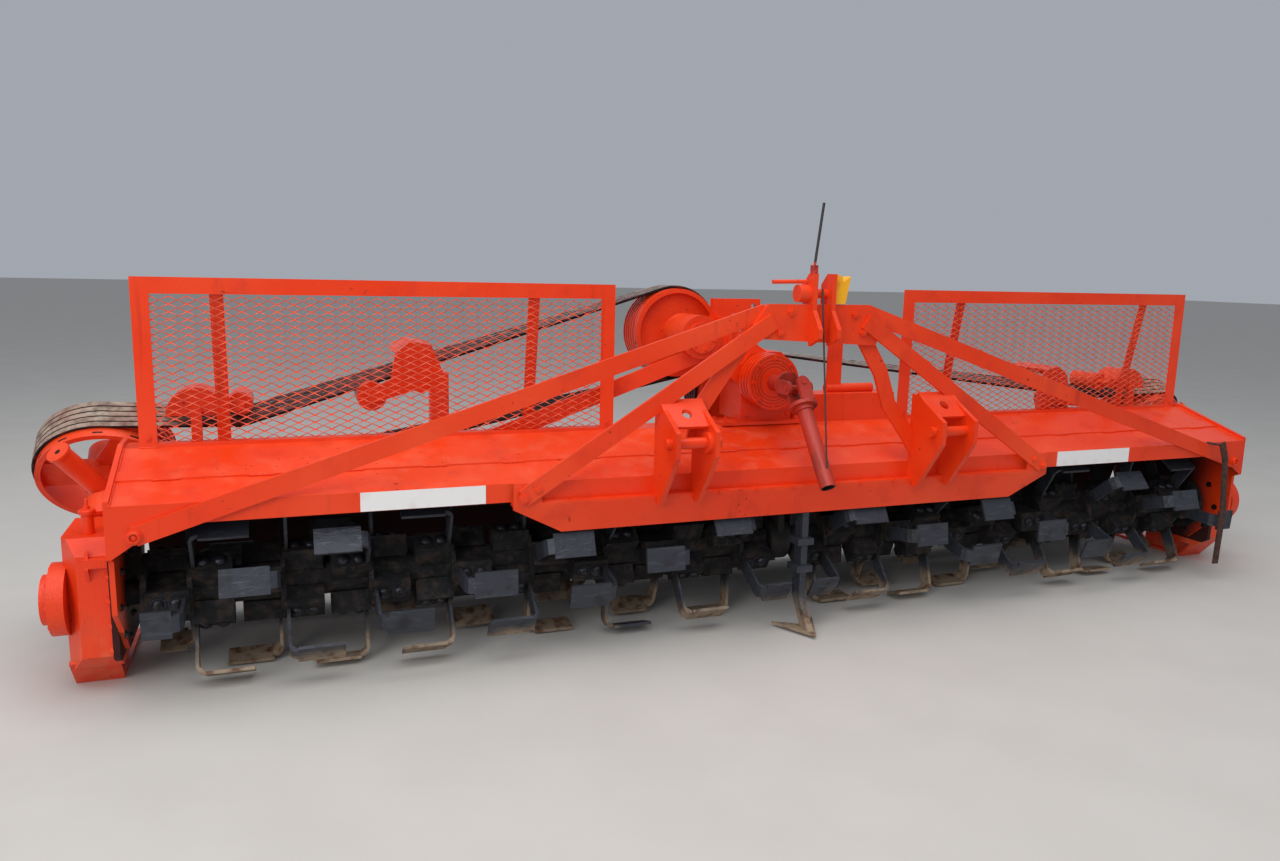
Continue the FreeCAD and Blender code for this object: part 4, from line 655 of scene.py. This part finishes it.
CASE_DEEP = 0.145
CASE_OUT_X = HOOD_HALF + END_PLATE + CASE_DEEP
CASE_BOLTS = ((-0.200, (0.140, 0.215, 0.290, 0.365)), (0.160, (0.140, 0.250, 0.360)))
HUB_CAP = 0.034
CASE_TOP_Z = 0.470
HOUSING_FLANGE = 0.040
WING_BOLTS = ((-0.113, 1.143), (-0.153, 1.074), (0.136, 1.137), (0.173, 1.074))
BRACE_BOLTS = ((1.030, 0.560, 0.014), (0.985, 0.586, 0.011))
GUARD_FEET_X = (0.635, 2.109)
FORWARD = Vector((0, -1, 0))
UP = Vector((0, 0, 1))
WALL_FACES = Vector((0, 0.86, 0.51))
SIDES = (("left", -1), ("right", 1))
spots = [(place(x, -0.370, z), FORWARD, 0.013) for x, z in WING_BOLTS]
for sign in (-1, 1):
    outward = Vector((sign, 0, 0))
    flange_x = sign * (HOOD_HALF + END_PLATE + CASE_FLANGE)
    for y, heights in CASE_BOLTS:
        spots += [(place(flange_x, y, z), outward, 0.009) for z in heights]
    cap = place(sign * (CASE_OUT_X + HUB_CAP), AXLE_Y, ROTOR_Z)
    spots += round_spots(cap, outward, 0.091, 8, 0.0075)
    flange_at = (CASE_TOP_Z - ROTOR_Z) / math.sin(SHEAVE_TILT) + HOUSING_FLANGE
    flange = place(sign * END_OUT_X, AXLE_Y, ROTOR_Z) + END_AXIS * flange_at
    spots += round_spots(flange, END_AXIS, 0.0445, 6, 0.0055)
    spots += [(place(sign * x, -0.374, z), FORWARD, size) for x, z, size in BRACE_BOLTS]
    spots += [(place(sign * x, 0.0, 0.728), FORWARD, 0.007) for x in GUARD_FEET_X]
spots += [(place(x, -0.362, 0.5355), FORWARD, 0.0065) for x in row_of(-0.35, 0.14, 6)]
spots += [(place(x, 0.128, 0.674), WALL_FACES, 0.009) for x in row_of(-2.1, 0.3, 15)]
bolt_on("frame_bolts", "frame", bar_paint, spots)
spots = []
for sign in (-1, 1):
    bearing = place(sign * HOOD_HALF, AXLE_Y, ROTOR_Z)
    spots += round_spots(bearing, Vector((-sign, 0, 0)), 0.135, 8, 0.010)
bolt_on("bearing_bolts", "frame", driveline_paint, spots)

UPPER_CAP_FACE = place(-0.262, 0.004, 1.030)
CLUTCH_FACE = place(0.0, -0.070, INPUT_Z)
GEARBOX_FRONT = 0.020
spots = round_spots(UPPER_CAP_FACE, FORWARD, 0.045, 6, 0.006)
for z in (0.735, 0.83, 0.905):
    spots += [(place(x, GEARBOX_FRONT, z), FORWARD, 0.009) for x in (-0.072, 0.112)]
spots += [(place(-0.143, GEARBOX_FRONT, z), FORWARD, 0.0075) for z in (0.952, 1.0, 1.055, 1.088)]
spots += round_spots(CLUTCH_FACE, FORWARD, 0.088, 8, 0.007)
for x in (-0.165, -0.115):
    spots += [(place(x, y, 0.712), UP, 0.009) for y in (0.0, 0.09)]
bolt_on("gearbox_bolts", "frame", casting_paint, spots)

for side, sign in SIDES:
    web = place(sign * END_OUT_X, AXLE_Y, ROTOR_Z) + END_AXIS * (END_REACH + LIP)
    spots = round_spots(web, -END_AXIS, 0.052, 6, 0.007)
    bolt_on("sheave_bolts_" + side, "end_sheave_" + side, casting_paint, spots)
for word, side in (("upper", "left"), ("lower", "right")):
    spots = round_spots(MIDDLE_CENTRES[side] + BACKWARD * LIP, FORWARD, 0.052, 6, 0.007)
    bolt_on("sheave_bolts_" + word, "middle_sheave_" + word, casting_paint, spots)

# Every blade is held in a clamp block on the tube, by two round-headed bolts
# that show side by side on the block's outer face.
STATIONS = 8
BLADES = 6
HELIX_STEP = 22.0
INNER_X = 0.046
OUTER_X = HOOD_HALF - INNER_X
CLAMP_OUT_R = 0.118
BLADE_BOLT_R = 0.019
BLADE_BOLTS = (0.036, 0.084)
station_pitch = (OUTER_X - INNER_X) / STATIONS
shiny = Finish("bolt_steel")
oily = shiny.noise(40.0, 4.0).ramp(0.4, 0.7)
bolt_steel = shiny.surface(
    shiny.mix(oily, rgb(52, 54, 62), rgb(36, 30, 28)), 0.3 + oily * 0.3,
    shiny.bump(shiny.noise(160.0, 4.0), 0.001), 0.5,
)
for side, sign in SIDES:
    spots = []
    for station in range(STATIONS):
        x = INNER_X + station_pitch * (station + 0.5)
        for blade in range(BLADES):
            way = 1 if blade % 2 else -1
            turn = math.radians(blade * 360 / BLADES + station * HELIX_STEP)
            out = Vector((0, -math.sin(turn), math.cos(turn)))
            for reach in BLADE_BOLTS:
                spot = Vector((sign * (x + way * reach), ROTOR_Y, ROTOR_Z)) + out * CLAMP_OUT_R
                spots.append((spot, out, BLADE_BOLT_R))
    bolt_on("blade_bolts_" + side, "rotor_" + side, bolt_steel, spots, domed)

# Small turned and flat pieces, welded or screwed on: the ringed stud at each
# long brace's foot, the breathers' caps, a rib on each shaft housing, a fin
# beside each gearcase's lug, and the flat stay from the gearbox to the ridge.
TURN_STEPS = 28
RIDGE_Z = 0.700
STAY_THICK = 0.012
STAY_HALF = 0.030
RIB_THICK = 0.008


def outline_solid(points, faces, outline, thick):
    """A flat plate of a given outline, thickened both ways."""
    first = len(points)
    count = len(outline)
    for side in (-0.5, 0.5):
        points += [corner + thick * side for corner in outline]
    faces.append(tuple(first + k for k in reversed(range(count))))
    faces.append(tuple(first + count + k for k in range(count)))
    for k in range(count):
        beside = (k + 1) % count
        faces.append((first + k, first + beside, first + count + beside, first + count + k))


def turned_solid(points, faces, foot, axis, profile):
    """A round solid from (distance along the axis, radius) pairs."""
    side = axis.orthogonal().normalized()
    other = axis.cross(side)
    first = len(points)
    for distance, radius in profile:
        for step in range(TURN_STEPS):
            angle = 2 * math.pi * step / TURN_STEPS
            out = side * math.cos(angle) + other * math.sin(angle)
            points.append(foot + axis * distance + out * radius)
    for ring in range(len(profile) - 1):
        for step in range(TURN_STEPS):
            beside = (step + 1) % TURN_STEPS
            here = first + ring * TURN_STEPS
            after = here + TURN_STEPS
            faces.append((here + step, here + beside, after + beside, after + step))
    last = first + (len(profile) - 1) * TURN_STEPS
    faces.append(tuple(first + step for step in reversed(range(TURN_STEPS))))
    faces.append(tuple(last + step for step in range(TURN_STEPS)))


RING_STUD = (
    (0.0, 0.023), (0.004, 0.023), (0.0045, 0.0175), (0.013, 0.0172), (0.0145, 0.0155), (0.0145, 0.0115),
    (0.006, 0.0108), (0.006, 0.0065), (0.0105, 0.006), (0.0115, 0.004),
)
BREATHER_CAP = (
    (-0.004, 0.0185), (-0.003, 0.0225), (0.007, 0.023), (0.011, 0.0205), (0.0125, 0.0085), (0.022, 0.008),
    (0.023, 0.0045), (0.040, 0.004), (0.043, 0.0015),
)
HOUSING_RIB = ((0.358, 0.034), (0.358, 0.062), (0.372, 0.066), (0.440, 0.056), (0.452, 0.034))
CASE_FIN = ((-0.188, 0.345), (-0.188, 0.448), (-0.196, 0.444), (-0.214, 0.392))
points = []
faces = []
for sign in (-1, 1):
    turned_solid(points, faces, place(sign * 2.119, -0.341, 0.514), FORWARD, RING_STUD)
    turned_solid(points, faces, place(sign * END_OUT_X, -0.095, 0.532), UP, BREATHER_CAP)
    foot = place(sign * END_OUT_X, AXLE_Y, ROTOR_Z)
    inward = Vector((-sign, 0, 0))
    outline = [foot + END_AXIS * distance + inward * stand for distance, stand in HOUSING_RIB]
    flat_way = inward.cross(END_AXIS).normalized()
    if sign > 0:
        outline.reverse()
        flat_way = -flat_way
    outline_solid(points, faces, outline, flat_way * RIB_THICK)
    outline = [place(sign * 2.262, y, z) for y, z in CASE_FIN]
    outline_solid(points, faces, outline, Vector((-RIB_THICK, 0, 0)))
stay_top = place(-0.140, 0.060, 1.0046)
stay_foot = place(-0.975, 0.060, RIDGE_Z)
stay_way = (stay_foot - stay_top).normalized()
stay_half = stay_way.cross(BACKWARD).normalized() * STAY_HALF
outline = [stay_top - stay_half, stay_top + stay_half]
for edge in (stay_top + stay_half, stay_top - stay_half):
    outline.append(edge + stay_way * ((edge.z - RIDGE_Z) / -stay_way.z))
outline_solid(points, faces, outline, BACKWARD * STAY_THICK)
fittings = new_piece("small_fittings", points, faces, bar_paint)
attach(fittings, "frame")

# Weld beads: stitches along the deck's lap and unbroken runs where the deck
# meets the end plates and the guards stand on the ridge.
BEAD_STEP = 0.0048
STITCH = 0.07
FOOT_WELD = 0.046
weld = Recipe("weld_beads", Wide=0.0036)
bead = {"Segments": 8, "Rings": 5, "Radius": weld.size("Wide")}
ball = weld.node("GeometryNodeMeshUVSphere", None, bead, "Mesh")
uneven = weld.node("FunctionNodeRandomValue", {"data_type": "FLOAT"}, {2: 0.8, 3: 1.25, 8: 4}, 1)
weld.repeats(ball, None, uneven)
runs = []
for x in row_of(-2.08, 0.256, 17):
    runs.append((place(x, -0.2015, 0.6415), place(x + STITCH, -0.2015, 0.6415)))
for sign in (-1, 1):
    runs.append((place(sign * 2.177, -0.328, 0.6008), place(sign * 2.177, -0.203, 0.6387)))
    runs.append((place(sign * 2.177, -0.142, 0.6572), place(sign * 2.177, -0.004, 0.6990)))
    for x in (0.612, 2.086):
        runs.append((place(sign * x, -0.0015, 0.7005), place(sign * (x + FOOT_WELD), -0.0015, 0.7005)))
spots = []
for start, stop in runs:
    count = int((stop - start).length / BEAD_STEP)
    spots += [start.lerp(stop, step / count) for step in range(count + 1)]
beads = weld.run("weld_beads", new_piece("weld_spots", spots, []), bar_paint)
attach(beads, "frame")

# The loose and bought pieces: a dull wire, a dark marker rod with a red
# foot, a rusty bent bar over the brace, a yellow plastic holder and two
# blank white plates.
wire = Finish("dull_wire")
dull_wire = wire.surface(
    wire.mix(wire.noise(90.0, 3.0).ramp(0.4, 0.65), rgb(70, 66, 66), rgb(96, 60, 46)), 0.6,
    wire.bump(wire.noise(700.0, 2.0), 0.0005), 0.5,
)
wears(dull_wire, "lift_wire")
RED_BELOW_Z = 1.31
rod = Finish("marker_paint")
low_red = rod.z < RED_BELOW_Z
worn_red = rod.mix(rod.noise(80.0, 3.0).ramp(0.4, 0.65), rgb(190, 44, 26), rgb(120, 30, 20))
marker_paint = rod.surface(
    rod.mix(low_red, rgb(44, 40, 42), worn_red), 0.55, rod.bump(rod.noise(500.0, 2.0), 0.0005)
)
wears(marker_paint, "marker_rod")
bent = Finish("rusty_bar")
flakes = bent.noise(50.0, 6.0)
rusty_bar = bent.surface(
    bent.mix(flakes.ramp(0.35, 0.7), rgb(84, 52, 40), rgb(44, 34, 34)), 0.8, bent.bump(flakes, 0.002)
)
wears(rusty_bar, "hanging_bar")
pouch = Finish("yellow_plastic")
stain = pouch.noise(26.0, 5.0).ramp(0.5, 0.75)
yellow_plastic = pouch.surface(
    pouch.mix(stain * 0.5, rgb(244, 172, 22), rgb(196, 110, 30)), 0.42 + stain * 0.2,
    pouch.bump(pouch.noise(160.0, 3.0), 0.0006),
)
wears(yellow_plastic, "holder")
label = Finish("white_plate")
soil = label.noise(20.0, 5.0).ramp(0.5, 0.8)
white_plate = label.surface(
    label.mix(soil * 0.35, rgb(232, 230, 228), rgb(190, 160, 146)), 0.35 + soil * 0.25,
    label.bump(label.noise(60.0, 2.0), 0.0002),
)
wears(white_plate, "blank_plates")

# The floor, the light and the camera. The camera stands where the
# photograph was taken, in front of the machine's left half and 1.27 m above
# the ground, with a wide lens.
FLOOR_REACH = 60.0
ground = Finish("pale_floor")
pale_floor = ground.surface(
    ground.mix(ground.noise(3.0, 4.0).ramp(0.3, 0.7) * 0.25, rgb(196, 192, 186), rgb(180, 176, 170)), 0.9
)
corners = [(x * FLOOR_REACH, y * FLOOR_REACH, 0) for x, y in ((-1, -1), (1, -1), (1, 1), (-1, 1))]
floor = new_piece("floor", corners, [(0, 1, 2, 3)], pale_floor)
floor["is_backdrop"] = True

world = bpy.data.worlds.new("soft_sky")
bpy.context.scene.world = world
world.use_nodes = True
backdrop = world.node_tree.nodes["Background"]
backdrop.inputs["Color"].default_value = (0.80, 0.86, 0.95, 1.0)
backdrop.inputs["Strength"].default_value = 0.45
for name, spot, aim, wide, power in (
    ("overhead_light", (-1.0, -1.5, 6.0), (0, 0, 0.3), 7.0, 330.0),
    ("side_light", (-6.0, -5.0, 3.5), (0, 0, 0.5), 4.0, 190.0),
):
    lamp = bpy.data.lights.new(name, "AREA")
    lamp.shape = "SQUARE"
    lamp.size = wide
    lamp.energy = power
    lit = bpy.data.objects.new(name, lamp)
    lit.location = spot
    lit.rotation_euler = (Vector(aim) - Vector(spot)).to_track_quat("-Z", "Y").to_euler()
    bpy.context.scene.collection.objects.link(lit)

bpy.context.scene.view_settings.view_transform = "Standard"
YAW = 0.367792
PITCH = 0.167659
ROLL = 0.023767
EYE = (-1.734206, -3.188842, 1.271208)
FOCAL_PIXELS = 949.973
PHOTO_WIDE = 1280
SENSOR = 36.0
lens = bpy.data.cameras.new("photo_camera")
lens.sensor_width = SENSOR
lens.lens = FOCAL_PIXELS / PHOTO_WIDE * SENSOR
lens.clip_start = 0.05
lens.clip_end = 200.0
level_right = Vector((math.cos(YAW), -math.sin(YAW), 0))
level_ahead = Vector((math.sin(YAW), math.cos(YAW), 0))
ahead = level_ahead * math.cos(PITCH) - UP * math.sin(PITCH)
upward = UP * math.cos(PITCH) + level_ahead * math.sin(PITCH)
turned_right = level_right * math.cos(ROLL) + upward * math.sin(ROLL)
turned_up = upward * math.cos(ROLL) - level_right * math.sin(ROLL)
camera = bpy.data.objects.new("photo_camera", lens)
stand = Matrix((turned_right, turned_up, -ahead)).transposed().to_4x4()
stand.translation = place(*EYE)
camera.matrix_world = stand
bpy.context.scene.collection.objects.link(camera)
bpy.context.scene.camera = camera

low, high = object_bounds()
